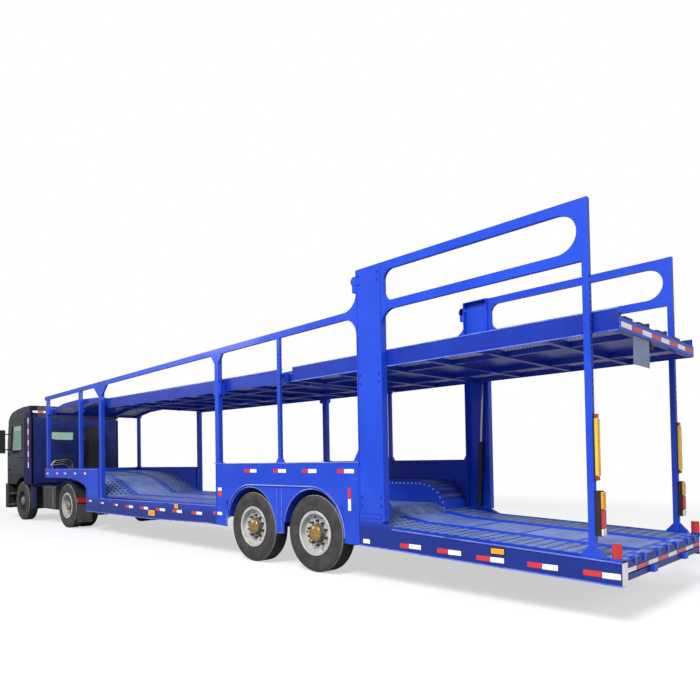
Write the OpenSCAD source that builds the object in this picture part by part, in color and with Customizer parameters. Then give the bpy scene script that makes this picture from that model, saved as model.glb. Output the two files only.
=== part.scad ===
/* [Overall] */
// Length from the trailer's tail to the tractor's bumper
total_l = 16950; // [16600:10:17400]
// Width over the trailer's side frames
body_w = 2550; // [2450:10:2600]
// Height of the top guard rail above the ground
rail_top_z = 3890; // [3800:10:4000]

/* [Wheels] */
// Tyre outside radius
tyre_r = 525; // [505:1:530]
// Tyre section width
tyre_w = 278; // [250:1:285]
// Seat radius of the rim inside the tyre
rim_r = 286; // [270:1:290]
// Distance between the centres of a twin pair
twin_gap = 315; // [305:1:330]
// Outer face of the outermost tyre, from the centre line
tyre_face_y = 1235; // [1210:1:1240]
// Radius of every wheel spindle
spindle_r = 45; // [40:1:50]
// Running clearance of a hub on its spindle
hub_clearance = 0.05; // [0.02:0.01:0.1]

/* [Axles, measured from the tail] */
// Rear trailer axle
trailer_axle_1 = 3915; // [3900:5:3950]
// Distance between the two trailer axles
trailer_axle_gap = 1340; // [1320:5:1360]
// Tractor driven axle
drive_axle_x = 12400; // [12380:5:12450]
// Tractor wheelbase
wheelbase = 3100; // [3080:5:3120]
// Kingpin ahead of the driven axle
kingpin_lead = 500; // [480:5:520]

/* [Trailer] */
// Front end of the gooseneck
trailer_front_x = 13650; // [13600:5:13660]
// Top of the gooseneck deck
neck_top_z = 1400; // [1390:1:1420]
// Underside of the coupler plate
coupler_z = 1180; // [1180:1:1184]
// Floor of the front well
well_floor_z = 800; // [790:1:810]
// Box sill and side frame thickness
sill_t = 80; // [70:1:85]
// Underside of the front sills
sill_low_z = 460; // [440:1:480]
// Top edge of the wheel box wall
box_top_z = 1490; // [1480:1:1500]
// Sheet thickness of floors and covers
sheet_t = 6; // [5:0.5:8]

/* [Upper decks] */
// Underside of the upper deck side beams
deck_low_z = 2640; // [2620:1:2660]
// Depth of the upper deck side beams
beam_h = 210; // [190:1:215]
// Half width of the upper decks
deck_half_w = 1165; // [1140:1:1170]
// Hinge pin of the rear upper deck, from the tail
deck_pin_x = 4500; // [4480:1:4520]
// Hinge pin height
deck_pin_z = 2700; // [2690:1:2710]
// Radius of the deck hinge pins
deck_pin_r = 20; // [16:1:24]

/* [Lift towers] */
// Rear face of the tower, from the tail
tower_x = 2650; // [2640:1:2660]
// Tower length along the truck
tower_l = 400; // [390:1:410]
// Tower depth across the truck
tower_t = 95; // [92:1:98]
// Radius of the lift cylinder barrel
barrel_r = 36; // [30:1:38]
// Radius of the lift cylinder rod
rod_r = 22; // [18:1:25]

/* [Cab] */
// Half width of the cab
cab_half_w = 1230; // [1200:5:1235]
// Rear face of the cab, from the tail
cab_back_x = 14750; // [14740:5:14800]
// Bottom of the cab sides
cab_low_z = 980; // [960:5:1000]
// Joint between the cab shell and the roof
roof_z = 2800; // [2780:5:2820]
// Top of the cab roof
cab_top_z = 3105; // [3080:5:3150]
// Thickness of cab walls and doors
wall_t = 50; // [40:1:60]
// Gap around the doors
door_gap = 6; // [5:0.5:10]
// Radius of the socket for the towing eye
tow_eye_r = 21; // [18:1:25]
// Thickness of the glass
glass_t = 6; // [5:0.5:8]

/* [Hidden] */
$fn = 48;

half_w = body_w / 2;
steer_axle_x = drive_axle_x + wheelbase;
trailer_axle_2 = trailer_axle_1 + trailer_axle_gap;
kingpin_x = drive_axle_x + kingpin_lead;
post_in_y = half_w - 60;
sill_in_y = half_w - sill_t;
outer_tyre_y = tyre_face_y - tyre_w / 2;
tower_y = half_w - tower_t;
rail_h = 100;
mid_rail_z = 3310;
rail_gap_r = (rail_top_z - mid_rail_z) / 2 - rail_h;
steer_pin_y = 880;
tail_low_z = 360;
tail_top_z = 570;
tower_foot_x = 2600;
tower_foot_low = 435;
tower_foot_top = 680;
lift_eye_x = 2760;
lift_eye_z = 2650;
lift_foot_x = 2855;
lift_foot_z = 805;
lift_y = half_w - 53;

// ---------- shared shapes ----------

// the truck is laid out from its tail and then centred on the origin
module placed() translate([-total_l / 2, 0, 0]) children();

module both_sides() {
    children();
    mirror([0, 1, 0]) children();
}

// a box between two corners
module block(low, high) translate(low) cube(high - low);

// a side outline (x, z) drawn from y0 to y1
module side_sheet(y0, y1) translate([0, y1, 0]) rotate([90, 0, 0]) linear_extrude(y1 - y0) children();

// an end outline (y, z) drawn from x0 to x1
module end_sheet(x0, x1) translate([x0, 0, 0]) rotate([90, 0, 90]) linear_extrude(x1 - x0) children();

// a bent sheet whose top follows the points (x, z)
module bent_sheet(path, t, y0, y1) side_sheet(y0, y1)
    polygon(concat(path, [for (i = [len(path) - 1 : -1 : 0]) path[i] - [0, t]]));

// a plan outline with four rounded corners
module round_plan(x0, x1, hw, r) {
    translate([x0 + r, -hw]) square([x1 - x0 - 2 * r, 2 * hw]);
    translate([x0, -hw + r]) square([x1 - x0, 2 * (hw - r)]);
    for (x = [x0 + r, x1 - r], y = [-hw + r, hw - r]) translate([x, y]) circle(r);
}

// a cylinder lying across the truck, from y0 to y1
module cross_rod(x, z, r, y0, y1) translate([x, y0, z]) rotate([-90, 0, 0]) cylinder(r = r, h = y1 - y0);

// ---------- wheels ----------

// one tyre around the y axis, centred on its own middle
module tyre() rotate([90, 0, 0]) rotate_extrude($fn = 96) {
    w = tyre_w / 2;
    bead = 113;
    polygon([
        [rim_r, -bead], [rim_r + 19, -bead], [400, -w], [440, -w], [490, -w + 12],
        [tyre_r - 8, -w + 28], [tyre_r, -w + 40], [tyre_r, w - 40], [tyre_r - 8, w - 28],
        [490, w - 12], [440, w], [400, w], [rim_r + 19, bead], [rim_r, bead],
    ]);
}

// one rim barrel with its two lips
module rim_barrel() rotate([90, 0, 0]) rotate_extrude($fn = 96)
    polygon([
        [268, -126], [302, -126], [302, -114], [rim_r - 0.3, -113.5], [rim_r - 0.3, 113.5],
        [302, 114], [302, 126], [268, 126],
    ]);

// a disc across the wheel between y0 and y1
module wheel_disc(r, y0, y1) translate([0, y0, 0]) rotate([-90, 0, 0]) cylinder(r = r, h = y1 - y0, $fn = 96);

// a hub disc with ten hand holes
module web_plate(y0, y1) difference() {
    wheel_disc(269, y0, y1);
    for (a = [0 : 36 : 359]) rotate([0, a, 0]) translate([222, 0, 0]) wheel_disc(20, y0 - 1, y1 + 1);
}

// twin rims on one hub, drawn for the left side around the twin's middle
module twin_rims() difference() {
    union() {
        for (s = [-1, 1]) translate([0, s * twin_gap / 2, 0]) rim_barrel();
        web_plate(31, 47);
        web_plate(-47, -31);
        wheel_disc(190, -150, 47);
        wheel_disc(110, 46, 250);
        wheel_disc(100, -180, -149);
    }
    wheel_disc(spindle_r + hub_clearance, -181, 215);
}

// a single rim on its hub, dished to the outside
module single_rim() difference() {
    union() {
        rim_barrel();
        web_plate(26, 50);
        wheel_disc(120, 49, 110);
        wheel_disc(190, -115, 27);
    }
    wheel_disc(spindle_r + hub_clearance, -116, 90);
}

// places a left-hand wheel at an axle; side is 1 on the left and -1 on the right
module at_wheel(x, y, side) placed() translate([x, side * y, tyre_r]) mirror([0, side < 0 ? 1 : 0, 0]) children();

module twin_tyres_at(x, side) color("dimgray") at_wheel(x, outer_tyre_y - twin_gap / 2, side)
    for (s = [-1, 1]) translate([0, s * twin_gap / 2, 0]) tyre();
module twin_rims_at(x, side) color("white") at_wheel(x, outer_tyre_y - twin_gap / 2, side) twin_rims();
module single_tyre_at(x, side) color("dimgray") at_wheel(x, outer_tyre_y, side) tyre();
module single_rim_at(x, side) color("white") at_wheel(x, outer_tyre_y, side) single_rim();

// spindle of a twin wheel, from the axle beam's end outwards
module twin_spindle(x) cross_rod(x, tyre_r, spindle_r, 700, outer_tyre_y - twin_gap / 2 + 205);

// ---------- tractor ----------

frame_rail_y = 380;
frame_low_z = 740;
frame_top_z = 975;
frame_tail_x = 11800;
bumper_x = 16600;

module tractor_frame() color("black") placed() {
    both_sides() difference() {
        block([frame_tail_x, frame_rail_y, frame_low_z], [16560, frame_rail_y + 75, frame_top_z]);
        block([frame_tail_x - 1, frame_rail_y - 1, frame_low_z + 9], [16561, frame_rail_y + 66, frame_top_z - 9]);
    }
    for (x = [frame_tail_x, 12000, 13300, 14100, 14650, 16440])
        block([x, -frame_rail_y - 66, frame_low_z + 40], [x + 80, frame_rail_y + 66, frame_top_z - 40]);
    both_sides() block([cab_back_x + 2, frame_rail_y, frame_top_z - 1], [cab_back_x + wall_t - 2, frame_rail_y + 75, cab_low_z - 0.3]);
}

// leaf spring pack lying along the truck, under the rail
module leaf_spring(x, y, z_low, half_l, top_z) {
    block([x - half_l, y, z_low], [x + half_l, y + 75, z_low + 40]);
    block([x - half_l / 2, y, z_low - 20], [x + half_l / 2, y + 75, z_low + 1]);
    for (s = [-1, 1]) translate([x + s * (half_l - 30) - 30, y, z_low + 39]) cube([60, 75, top_z - z_low - 39]);
}

module front_axle() color("black") placed() {
    both_sides() {
        leaf_spring(steer_axle_x, frame_rail_y, 560, 700, frame_low_z);
        block([steer_axle_x - 45, frame_rail_y, 479], [steer_axle_x + 45, frame_rail_y + 75, 541]);
        difference() {
            translate([steer_axle_x, steer_pin_y, 440]) cylinder(r = 55, h = 100);
            translate([steer_axle_x, steer_pin_y, 439]) cylinder(r = 22 + hub_clearance, h = 102);
        }
    }
    difference() {
        block([steer_axle_x - 45, -steer_pin_y, 440], [steer_axle_x + 45, steer_pin_y, 480]);
        both_sides() translate([steer_axle_x, steer_pin_y, 439]) cylinder(r = 54, h = 102);
    }
}

// steering knuckle: a fork around the axle's eye and the spindle of the wheel
module knuckle(side) color("gray") placed() mirror([0, side < 0 ? 1 : 0, 0]) {
    x = steer_axle_x;
    translate([x, steer_pin_y, 395]) cylinder(r = 50, h = 40);
    translate([x, steer_pin_y, 545]) cylinder(r = 50, h = 60);
    translate([x, steer_pin_y, 396]) cylinder(r = 22, h = 200);
    block([x - 50, steer_pin_y + 62, 395], [x + 50, steer_pin_y + 92, 605]);
    for (z = [[395, 435], [545, 605]]) block([x - 50, steer_pin_y, z[0]], [x + 50, steer_pin_y + 63, z[1]]);
    cross_rod(x, tyre_r, spindle_r, steer_pin_y + 91, outer_tyre_y + 80);
}

module drive_axle() color("black") placed() {
    both_sides() {
        leaf_spring(drive_axle_x, frame_rail_y, 610, 600, frame_low_z);
        twin_spindle(drive_axle_x);
    }
    cross_rod(drive_axle_x, tyre_r, 80, -701, 701);
    cross_rod(drive_axle_x, tyre_r, 200, -150, 150);
    both_sides() block([drive_axle_x - 60, frame_rail_y, 520], [drive_axle_x + 60, frame_rail_y + 75, 591]);
}

module fifth_wheel() color("black") placed() difference() {
    union() {
        translate([0, 0, coupler_z - 0.5 - 46]) linear_extrude(46) difference() {
            union() {
                translate([kingpin_x, 0]) circle(r = 450, $fn = 96);
                translate([kingpin_x - 560, -300]) square([300, 600]);
            }
            translate([kingpin_x, 0]) circle(r = 25.5);
            polygon([[kingpin_x - 40, -24], [kingpin_x - 40, 24], [kingpin_x - 600, 130], [kingpin_x - 600, -130]]);
            translate([kingpin_x - 60, -24]) square([60, 48]);
        }
        for (s = [-1, 1]) translate([kingpin_x - 90, s * 300 - 40, frame_top_z]) cube([180, 80, coupler_z - 46 - frame_top_z]);
        block([kingpin_x - 350, -455, frame_top_z], [kingpin_x + 350, 455, frame_top_z + 14]);
    }
}

module engine_block() color("gray") placed()
    block([15000, 0.3 - frame_rail_y, 600], [16300, frame_rail_y - 0.3, 1130]);

// side outline of the cab between the floor and the roof joint
module cab_outline(inset = 0) polygon([
    [cab_back_x + inset, cab_low_z], [16800 - inset, cab_low_z], [16800 - inset, 1750],
    [16620 - inset, roof_z], [cab_back_x + inset, roof_z],
]);

module cab_solid(inset = 0) intersection() {
    side_sheet(-cab_half_w + inset, cab_half_w - inset) cab_outline(inset);
    translate([0, 0, cab_low_z - 1]) linear_extrude(cab_top_z - cab_low_z)
        round_plan(cab_back_x + inset, 16900, cab_half_w - inset, 180 - inset);
}

door_x0 = 15420;
door_x1 = 16560;
hinge_x = door_x1 + door_gap / 2;
door_z0 = 1230;
door_z1 = 2720;
cab_floor_z = 1190;

// outline of a cab door, its front edge sloping with the windscreen
module door_outline(grow = 0) polygon([
    [door_x0 - grow, door_z0 - grow], [door_x1 + grow, door_z0 - grow], [door_x1 + grow, 1900],
    [16430 + grow, door_z1 + grow], [door_x0 - grow, door_z1 + grow],
]);

module door_window() polygon([
    [15520, 1920], [16440, 1920], [16320, 2620], [15520, 2620],
]);

module cab_shell() color("midnightblue") placed() difference() {
    cab_solid();
    difference() {
        cab_solid(wall_t);
        block([cab_back_x, -cab_half_w, cab_floor_z], [16900, cab_half_w, cab_floor_z + 40]);
    }
    // open fronts for the windscreen and the front panel
    block([16680, -cab_half_w + 60, cab_low_z - 1], [16900, cab_half_w - 60, 1751]);
    side_sheet(-cab_half_w + 110, cab_half_w - 110)
        polygon([[16900, 1750], [16600, 1751], [16470, 2700], [16900, 2700]]);
    both_sides() side_sheet(cab_half_w - wall_t - 20, cab_half_w + 1) door_outline(door_gap);
    both_sides() side_sheet(cab_half_w - wall_t - 300, cab_half_w + 1)
        translate([steer_axle_x, tyre_r]) circle(r = 650, $fn = 96);
    both_sides() end_sheet(cab_back_x - 1, cab_back_x + wall_t + 1)
        translate([100, 2190]) square([600, 210]);
}

// the domed roof outline, brought in by an inset for the hollow
module roof_crown(inset) {
    low_z = roof_z + (inset > 0 ? -1 : 0.3);
    intersection() {
        side_sheet(-cab_half_w + inset, cab_half_w - inset) polygon([
            [cab_back_x + inset, low_z], [16620 - inset, low_z], [16500 - inset, 2920 - inset],
            [16250, 3020 - inset], [15850, 3075 - inset], [15400, cab_top_z - inset],
            [cab_back_x + inset, cab_top_z - inset],
        ]);
        translate([0, 0, roof_z - 2]) linear_extrude(400)
            round_plan(cab_back_x + inset, 16900, cab_half_w - inset, 180 - inset);
    }
}

module cab_roof() color("midnightblue") placed() difference() {
    roof_crown(0);
    roof_crown(35);
}

module cab_front() color("midnightblue") placed()
    block([16680.5, -cab_half_w + 60.5, cab_low_z], [16800, cab_half_w - 60.5, 1750]);

module cab_glass() color("lightblue", 0.4) placed() {
    side_sheet(-cab_half_w + 110.3, cab_half_w - 110.3)
        polygon([[16775, 1750.3], [16785, 1750.3], [16625, 2699.7], [16615, 2699.7]]);
    both_sides() block([cab_back_x + 20, 100.3, 2190.3], [cab_back_x + 20 + glass_t, 699.7, 2399.7]);
}

module front_bumper() color("dimgray") placed() {
    difference() {
        block([16200, -cab_half_w + 10, 280], [16950, cab_half_w - 10, cab_low_z - 0.3]);
        block([16190, -cab_half_w - 1, 279], [16700, cab_half_w + 1, cab_low_z]);
        for (s = [-1, 1]) translate([16900, s * 900 - 190, 520]) cube([60, 380, 200]);
        translate([16800, 560, 420]) rotate([0, 90, 0]) cylinder(r = tow_eye_r, h = 151);
    }
    both_sides() block([16560.3, frame_rail_y, 760], [16701, frame_rail_y + 66, 940]);
}

module cab_steps() color("dimgray") placed() both_sides() {
    for (z = [360, 670]) block([16200, 930, z], [16698, cab_half_w - 10, z + 40]);
    block([16200, 910, 360], [16698, 930.5, cab_low_z]);
    block([cab_back_x + 10, 760, 330], [cab_back_x + 60, cab_half_w - 10, cab_low_z]);
}

module mirrors() color("black") placed() both_sides() {
    block([16600, cab_half_w + 100, 1850], [16680, cab_half_w + 290, 2520]);
    for (z = [1960, 2400]) cross_rod(16640, z, 16, cab_half_w + 0.3, cab_half_w + 101);
}

module seats() color("dimgray") placed() both_sides() {
    block([15480, 330, cab_floor_z + 40.3], [15960, 850, 1600]);
    block([15440, 340, 1599], [15580, 840, 2240]);
    block([15450, 440, 2239], [15560, 740, 2440]);
}

module dashboard() color("black") placed() {
    block([16380, -cab_half_w + 130, cab_floor_z + 40.3], [16670, cab_half_w - 130, 1780]);
    translate([16380, 590, 1620]) rotate([0, -65, 0]) cylinder(r = 30, h = 180);
    translate([16215, 590, 1700]) rotate([0, -65, 0]) rotate_extrude($fn = 64) translate([210, 0]) circle(r = 16, $fn = 24);
    translate([16215, 590, 1700]) rotate([0, -65, 0]) for (a = [30, 150, 270]) rotate([0, 0, a])
        translate([0, -14, -8]) cube([205, 28, 16]);
}

module fuel_tank() color("silver") placed() side_tank(13450, 14350);

// a rounded tank hung on the outside of the left frame rail
module side_tank(x0, x1) end_sheet(x0, x1) {
    translate([530, 420]) square([560, 480]);
    translate([590, 360]) square([440, 600]);
    for (y = [590, 1030], z = [420, 900]) translate([y, z]) circle(r = 60);
    translate([455, 760]) square([80, 140]);
}

module battery_box() color("dimgray") placed() {
    block([13450, -1150, 420], [14050, -530, 900]);
    block([13450, -531, 780], [14050, -455, 880]);
    cross_rod(14250, 560, 120, -1120, -560);
    block([14200, -561, 700], [14300, -455, 860]);
    block([14200, -561, 560], [14300, -555, 720]);
}

module intake_stack() color("black") placed() {
    block([14410, -610, 1250], [14700, -190, 2540]);
    block([14500, -455, frame_top_z], [14640, -300, 1251]);
}

module drive_mudguards() color("black") placed() both_sides() {
    side_sheet(640, 1225) difference() {
        translate([drive_axle_x, tyre_r]) circle(r = 572, $fn = 96);
        translate([drive_axle_x, tyre_r]) circle(r = 564, $fn = 96);
        translate([drive_axle_x - 700, -100]) square([1400, 800]);
        translate([drive_axle_x - 700, 0]) square([200, 950]);
    }
    block([drive_axle_x + 360, frame_rail_y + 75, 925], [drive_axle_x + 400, 660, 965]);
    block([11820, frame_rail_y + 75, 860], [11850, 1130, 900]);
    block([11820, 850, 150], [11828, 1225, 861]);
}

// ---------- doors ----------

module door(side) color("midnightblue") placed() mirror([0, side < 0 ? 1 : 0, 0]) {
    difference() {
        side_sheet(cab_half_w - wall_t, cab_half_w) door_outline();
        side_sheet(cab_half_w - wall_t - 1, cab_half_w + 1) door_window();
    }
    for (z = [1350, 1790]) {
        translate([hinge_x, cab_half_w + 10.3, z]) cylinder(r = 10, h = 60);
        block([hinge_x - 40, cab_half_w - 0.5, z], [hinge_x, cab_half_w + 6, z + 60]);
    }
}

module door_glass(side) color("lightblue", 0.4) placed() mirror([0, side < 0 ? 1 : 0, 0])
    side_sheet(cab_half_w - 28, cab_half_w - 28 + glass_t) door_pane();

module door_pane() polygon([
    [15520.3, 1920.3], [16439.6, 1920.3], [16319.6, 2619.7], [15520.3, 2619.7],
]);

// ---------- trailer ----------

// ramp from the well floor up between the gooseneck's side frames, as (x, z)
ramp_low_x = 10400;
neck_floor_z = neck_top_z - 100;
neck_path = [
    [ramp_low_x, well_floor_z], [11250, 1120], [11650, 1200], [12100, 1256],
    [13000, neck_floor_z], [trailer_front_x - 60, neck_floor_z],
];
// top of the lower floor between the side frames, as (x, z)
low_path = concat([
    [120.3, tail_top_z + 5], [tower_foot_x, tower_foot_top], [3000, 740], [3200, 860], [6000, 860],
    [6200, well_floor_z],
], neck_path);
// top of the drive-over cover above the twin wheels
cover_path = [
    [3052, 735], [3086, 903], [3181, 1046], [3324, 1141], [3492, 1175], [5708, 1175],
    [5876, 1141], [6019, 1046], [6114, 903], [6148, 802],
];
well_in_y = 600;

module lower_floor() color("lightsteelblue") placed() difference() {
    bent_sheet(low_path, sheet_t, -sill_in_y + 0.3, sill_in_y - 0.3);
    both_sides() {
        block([3045, well_in_y - 0.3, 400], [6155, half_w, 1300]);
        block([2980, tower_y - 0.5, 400], [3060, half_w, 1300]);
    }
}

module front_frame() color("royalblue") placed() {
    // side frames with the stepped gooseneck outline
    both_sides() side_sheet(sill_in_y, half_w) polygon([
        [6150.5, 500], [6300, sill_low_z + 45], [8300, sill_low_z], [11170, sill_low_z], [11190, 970],
        [11290, 1040], [11620, 1120], [12080, coupler_z + 6], [trailer_front_x, coupler_z + 6],
        [trailer_front_x, neck_top_z], [10560, neck_top_z], [10560, 770], [6150.5, 805],
    ]);
    // underside plates of the gooseneck and the step behind the tractor
    side_sheet(-sill_in_y, sill_in_y) polygon([
        [11150, sill_low_z], [11170, sill_low_z], [11190, 970], [11290, 1040], [11620, 1120],
        [12080, coupler_z], [trailer_front_x, coupler_z], [trailer_front_x, coupler_z + 14],
        [12060, coupler_z + 14], [11600, 1134], [11270, 1054], [11172, 982],
    ]);
    block([trailer_front_x - 55, -sill_in_y, coupler_z + 13], [trailer_front_x, sill_in_y, neck_top_z]);
    for (y = [-430, 430]) {
        side_sheet(y - 40, y + 40) polygon([
            [6190, 620], [11150, 620], [11150, 1062], [ramp_low_x, well_floor_z - 16], [6200, well_floor_z - 16],
        ]);
        side_sheet(y - 40, y + 40) polygon([
            [12150, coupler_z + 13], [trailer_front_x - 54, coupler_z + 13], [trailer_front_x - 54, neck_floor_z - sheet_t],
            [13000, neck_floor_z - sheet_t], [12150, 1251],
        ]);
    }
    for (x = [6300, 7100, 7900, 8700, 9500, 10200]) block([x, -sill_in_y, 650], [x + 60, sill_in_y, 740]);
    translate([kingpin_x, 0, coupler_z - 84]) cylinder(r = 25.4, h = 90);
}

arch_r = 600;

// outer wall of the wheel box with one long arch, and the ribbed panel set back inside it
module wheel_box() color("royalblue") placed() {
    both_sides() {
        side_sheet(half_w - 12, half_w) difference() {
            polygon([
                [3050.5, tower_foot_low + 12], [3310, 450], [3310, 900], [5855, 900], [5855, 490],
                [6150, 500], [6150, box_top_z], [3050.5, box_top_z],
            ]);
            for (x = [trailer_axle_1, trailer_axle_2]) translate([x, tyre_r + 30]) circle(r = arch_r, $fn = 96);
            translate([trailer_axle_1, 300]) square([trailer_axle_gap, tyre_r + 30 + arch_r - 300]);
        }
        side_sheet(half_w - 30, half_w - 11.5) difference() {
            union() {
                translate([trailer_axle_1, 480]) square([trailer_axle_gap, 750]);
                translate([3320, 620]) square([2530, 610]);
            }
            for (x = [trailer_axle_1, trailer_axle_2]) translate([x, tyre_r + 20]) circle(r = arch_r - 15, $fn = 96);
        }
        for (x = [trailer_axle_1, trailer_axle_2]) side_sheet(1000, half_w - 12) difference() {
            translate([x, tyre_r + 20]) circle(r = arch_r - 14, $fn = 96);
            translate([x, tyre_r + 20]) circle(r = arch_r - 21, $fn = 96);
            translate([x - arch_r, -60]) square([2 * arch_r, 700]);
        }
        block([(trailer_axle_1 + trailer_axle_2) / 2 - 50, half_w - 12, 480], [(trailer_axle_1 + trailer_axle_2) / 2 + 50, half_w - 2, 1130]);
        block([3050.5, half_w - 60, box_top_z - 50], [6150, half_w - 11.5, box_top_z]);
        bent_sheet(cover_path, sheet_t, well_in_y, half_w - 12);
        side_sheet(well_in_y, well_in_y + 6) difference() {
            polygon(concat([[3052, 730]], [for (p = cover_path) p - [0, 1]], [[6148, 740]]));
            for (x = [trailer_axle_1, trailer_axle_2]) translate([x, tyre_r]) circle(r = 250);
        }
        block([5955, half_w - 70, 500], [6149, half_w - 11.5, 800]);
    }
    // chassis beams over the axles
    both_sides() side_sheet(390, 470) polygon([
        [3060, 664], [6189, 664], [6189, 790], [5995, 852], [3205, 852], [3060, 765],
    ]);
    for (x = [3215, 4535, 5900]) block([x, -well_in_y, 780], [x + 80, well_in_y, 853]);
}

module rear_frame() color("royalblue") placed() {
    both_sides() {
        side_sheet(sill_in_y, half_w) polygon([
            [0, tail_low_z], [tower_foot_x, tower_foot_low], [3050, tower_foot_low + 12], [3050, 760],
            [2700, 760], [tower_foot_x - 60, tower_foot_top + 6], [0, tail_top_z + 6],
        ]);
        side_sheet(390, 470) polygon([
            [120, 430], [2400, 500], [3059.5, 640], [3059.5, 725], [tower_foot_x, tower_foot_top - 8], [120, tail_top_z - 6],
        ]);
    }
    difference() {
        block([0, -sill_in_y, tail_low_z + 40], [120, sill_in_y, tail_top_z + 4]);
        both_sides() block([-1, 560, tail_low_z + 95], [121, 1120, tail_low_z + 155]);
    }
    for (x = [700, 1400]) block([x, -sill_in_y, 405], [x + 60, sill_in_y, tail_low_z + 99.5]);
    block([2100, -sill_in_y, 450], [2160, sill_in_y, 530]);
    block([2700, -sill_in_y, 520], [2760, sill_in_y, 640]);
}

// upright posts: centre x, width along x, depth across, foot height, head height, both sides or left only
POSTS = [
    [250, 60, 60, tail_top_z + 19, rail_top_z, true],
    [4560, 60, 45, box_top_z, 3280, true],
    [6100, 100, 80, box_top_z, 3255.5, true],
    [10440, 110, 80, 771.6, 3190, true],
    [11520, 90, 70, neck_top_z, 3170, false],
    [13500, 90, 70, neck_top_z, 3137, true],
];

// gussets under the front rail: x, top height, half width, depth
RAIL_GUSSETS = [[6100, 3255.5, 160, 180], [10440, 3190, 330, 270]];

module post(p) block([p[0] - p[1] / 2, half_w - p[2], p[3]], [p[0] + p[1] / 2, half_w, p[4]]);

// a flat triangular gusset beside a post, at its foot or under a rail
module gusset(x, z, w, h, t) side_sheet(half_w - t, half_w)
    polygon([[x - w, z], [x + w, z], [x + 30, z + h], [x - 30, z + h]]);

module side_posts() color("royalblue") placed() {
    for (p = POSTS) {
        if (p[5]) both_sides() post(p);
        else post(p);
    }
    both_sides() {
        gusset(250, tail_top_z + 23, 130, 110, 40);
        gusset(4560, box_top_z, 80, 70, 40);
        for (g = RAIL_GUSSETS) gusset(g[0], g[1], g[2], -g[3], 40);
    }
}

// a rail panel with a long round-ended opening
module rear_rail() side_sheet(half_w - 50, half_w) difference() {
    translate([280.5, mid_rail_z]) square([tower_x - 281, rail_top_z - mid_rail_z]);
    translate([320 + rail_gap_r, mid_rail_z + rail_h]) square([tower_x - 365 - rail_gap_r, 2 * rail_gap_r]);
    translate([320 + rail_gap_r, mid_rail_z + rail_h + rail_gap_r]) circle(r = rail_gap_r, $fn = 96);
}

front_rail_z0 = 3395;
front_rail_z1 = 3225;

module guard_rails() color("royalblue") placed() both_sides() {
    rear_rail();
    side_sheet(half_w - 50, half_w) difference() {
        union() {
            polygon([
                [tower_x + tower_l + 0.5, front_rail_z0 - 90], [trailer_front_x, front_rail_z1 - 90],
                [trailer_front_x, front_rail_z1], [tower_x + tower_l + 0.5, front_rail_z0],
            ]);
            translate([tower_x + tower_l + 0.5, 3100]) square([220, 480]);
        }
        translate([tower_x + tower_l + 220, front_rail_z0 + 217]) circle(r = 220);
        translate([tower_x + tower_l + 220, 3085]) circle(r = 215);
        for (p = POSTS) if (p[0] > 4000) translate([p[0] - p[1] / 2 - 0.5, 2900])
            square([p[1] + 1, p[4] - 2900 + 0.5]);
        for (g = RAIL_GUSSETS) translate([g[0] - g[2] - 1, g[1] - g[3] - 1]) square([2 * g[2] + 2, g[3] + 1.5]);
    }
}

module lift_towers() color("royalblue") placed() both_sides() difference() {
    union() {
        block([tower_x, tower_y, 760.5], [tower_x + tower_l, half_w, rail_top_z]);
        side_sheet(half_w - 12, half_w)
            polygon([[tower_x + tower_l - 1, box_top_z + 0.5], [3140, box_top_z + 0.5], [tower_x + tower_l - 1, 1640]]);
    }
    difference() {
        block([tower_x + 12, tower_y - 1, 772], [tower_x + tower_l - 12, half_w - 12, rail_top_z - 12]);
        cross_rod(lift_foot_x, lift_foot_z, 15, lift_y - 24, half_w);
    }
}

// side beam centre lines of the front upper deck: x, underside z, depth
FRONT_DECK = [
    [4620, deck_low_z, beam_h], [10250, deck_low_z + 62, beam_h], [10700, 2860, 110],
    [11900, 2905, 110], [12700, 2880, 110], [trailer_front_x - 90, 2755, 110],
];
front_deck_top = [for (p = FRONT_DECK) [p[0], p[1] + p[2]]];
front_deck_low = [for (i = [len(FRONT_DECK) - 1 : -1 : 0]) [FRONT_DECK[i][0], FRONT_DECK[i][1]]];

module front_upper_deck() color("royalblue") placed() {
    both_sides() {
        side_sheet(deck_half_w - 12, deck_half_w) polygon(concat(front_deck_top, front_deck_low));
        bent_sheet([for (p = FRONT_DECK) [p[0], p[1] + 75]], 60, 520, 580);
    }
    bent_sheet([for (p = FRONT_DECK) [p[0], p[1] + 82]], sheet_t, -deck_half_w + 11.5, deck_half_w - 11.5);
    for (i = [0 : 7]) block([4700 + i * 780, -deck_half_w + 11.5, deck_low_z + 20 + i * 8.6], [4760 + i * 780, deck_half_w - 11.5, deck_low_z + 78 + i * 8.6]);
    block([trailer_front_x - 150, -deck_half_w + 11.5, 2768], [trailer_front_x - 90, deck_half_w - 11.5, 2838]);
    // brackets that carry the deck on the posts
    for (p = POSTS) if (p[0] > 4600) for (s = (p[5] ? [-1, 1] : [1]))
        translate([p[0] - 30, s > 0 ? deck_half_w - 1 : -(half_w - p[2]), p[0] < 10500 ? 2740 : 2880 - (p[0] > 13000 ? 70 : 0)])
            cube([60, half_w - p[2] - deck_half_w + 1, 60]);
    // eye plates for the hinge pins of the rear upper deck
    both_sides() difference() {
        block([deck_pin_x - 60, deck_half_w + 5, deck_pin_z - 70], [4700, deck_half_w + 25, deck_pin_z + 70]);
        cross_rod(deck_pin_x, deck_pin_z, deck_pin_r + hub_clearance, deck_half_w, deck_half_w + 40);
    }
    both_sides() {
        block([4620, deck_half_w - 1, deck_pin_z - 55], [4690, deck_half_w + 6, deck_pin_z + 70]);
        block([4545, deck_half_w + 24, deck_pin_z + 25], [4585, half_w - 45, deck_pin_z + 65]);
    }
}

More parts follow.
